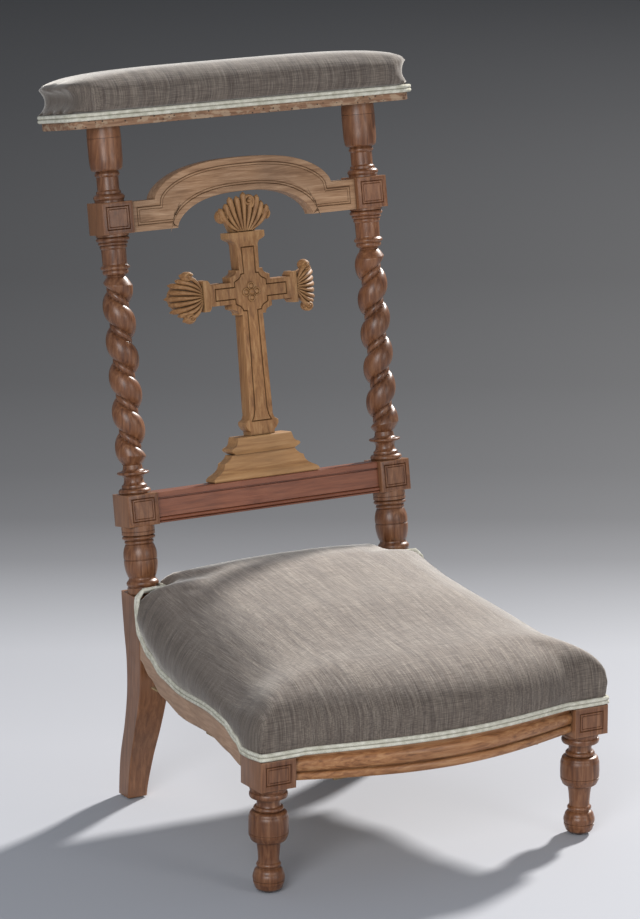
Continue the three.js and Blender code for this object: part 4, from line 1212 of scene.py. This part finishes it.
def make_hessian():
    """One sheet from front to back: narrow between the corner braces, with a slight sag."""
    low, high = (Vector(corner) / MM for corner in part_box("seat_hessian"))
    rows = []
    steps = 24
    for i in range(steps + 1):
        v = i / steps
        y = between(low.y, high.y, v)
        slope = between(low.z, high.z - 1, v)
        half = between(176, 157, v) if v > 0.12 else between(100, 176, v / 0.12)
        row = []
        for j in range(steps + 1):
            u = j / steps * 2 - 1  # from -1 at the left edge to 1 at the right
            sag = 1.2 * math.sin(math.pi * v) * (1 - u * u) + 0.4 * math.cos(u * 9) * math.sin(v * 9)
            row.append((u * half, y, slope + 0.8 + sag))
        rows.append(row)
    rings = [row + [(x, y, z + 0.8) for x, y, z in reversed(row)] for row in rows]
    sheet = piece("hessian_sheet", [skin(rings)], "hessian", ("seat_hessian",), WORLD)


def make_tacks():
    """Round-headed tacks at the ends of every webbing strip."""
    shells = []
    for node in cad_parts:
        if not node.startswith("webbing"):
            continue
        low, high = (Vector(corner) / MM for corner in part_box(node))
        for end in (0, 1):
            for k in range(5):
                u = (k + 0.5) / 5
                if "lengthwise" in node:
                    y = between(low.y + 7, high.y - 7, end)
                    x = between(low.x, high.x, u)
                    slope = (high.z - low.z - 2) / (high.y - low.y)
                    z = low.z + (y - low.y) * slope
                else:
                    x = between(low.x + 6, high.x - 6, end)
                    y = between(low.y, high.y, u)
                    z = low.z
                head = ball((0, 0, 0), (3.2, 3.2, 1.3), 8, 12)
                shells.append(moved(head, x, y, z - 0.1))
    piece("webbing_tacks", shells, "iron", matrix=WORLD)


# ---- stage ----
def make_stage():
    """A seamless grey floor with painted shade: its colour darkens away from the camera."""
    n = Nodes("stage")
    depth = n.add("VectorMath", operation="DOT_PRODUCT")
    depth.inputs[1].default_value = (math.sin(AZIMUTH), math.cos(AZIMUTH), 0)
    n.link(n.place((1, 1, 1)), depth.inputs[0])
    away = n.add("MapRange")
    away.inputs["From Min"].default_value = 0.0
    away.inputs["From Max"].default_value = 8.0
    n.link(depth.outputs["Value"], away.inputs["Value"])
    # painted shade: the floor's colour falls off with distance, standing in for the studio light's falloff
    grey = [
        (0.03, 0.48), (0.086, 0.4), (0.119, 0.275), (0.148, 0.165), (0.18, 0.102), (0.22, 0.075),
        (0.3, 0.05), (0.42, 0.036), (0.69, 0.033), (0.9, 0.036),
    ]
    colour = n.ramp(away.outputs["Result"], [(at, (g * 0.97, g * 0.985, g * 1.05)) for at, g in grey])
    n.link(colour, n.shader.inputs["Base Color"])
    n.shader.inputs["Roughness"].default_value = 0.7
    n.shader.inputs["Specular IOR Level"].default_value = 0.2
    mesh = bpy.data.meshes.new("floor")
    half = 14.0
    corners = [(-half, -half, 0), (half, -half, 0), (half, half, 0), (-half, half, 0)]
    mesh.from_pydata(corners, [], [(0, 1, 2, 3)])
    floor = bpy.data.objects.new("floor", mesh)
    mesh.materials.append(n.material)
    bpy.context.scene.collection.objects.link(floor)


def light(name, place, target, size, power, colour):
    data = bpy.data.lights.new(name, "AREA")
    data.shape = "DISK"
    data.size = size
    data.energy = power
    data.color = colour
    lamp = bpy.data.objects.new(name, data)
    lamp.location = place
    lamp.rotation_euler = (Vector(place) - Vector(target)).to_track_quat("Z", "Y").to_euler()
    bpy.context.scene.collection.objects.link(lamp)


def make_lights():
    centre = (0, 0, 0.35)
    light("key", (5.6, 2.75, 4.25), centre, 0.75, 960, (1.0, 0.98, 0.95))
    light("fill", (-2.9, -3.2, 2.2), centre, 2.4, 120, (0.96, 0.98, 1.0))
    light("front", (1.4, -4.2, 1.6), centre, 1.8, 34, (1.0, 0.98, 0.96))
    world = bpy.data.worlds.new("studio")
    bpy.context.scene.world = world
    world.use_nodes = True
    background = world.node_tree.nodes["Background"]
    background.inputs["Color"].default_value = (0.55, 0.6, 0.68, 1)
    background.inputs["Strength"].default_value = 0.4
    bpy.context.scene.view_settings.view_transform = "Standard"


make_camera()
make_stage()
make_lights()
make_posts()
make_front_legs()
make_front_rail()
make_side_rails()
make_back_rails()
make_cross()
make_rest()
make_seat()
make_seat_welt()
make_underside()
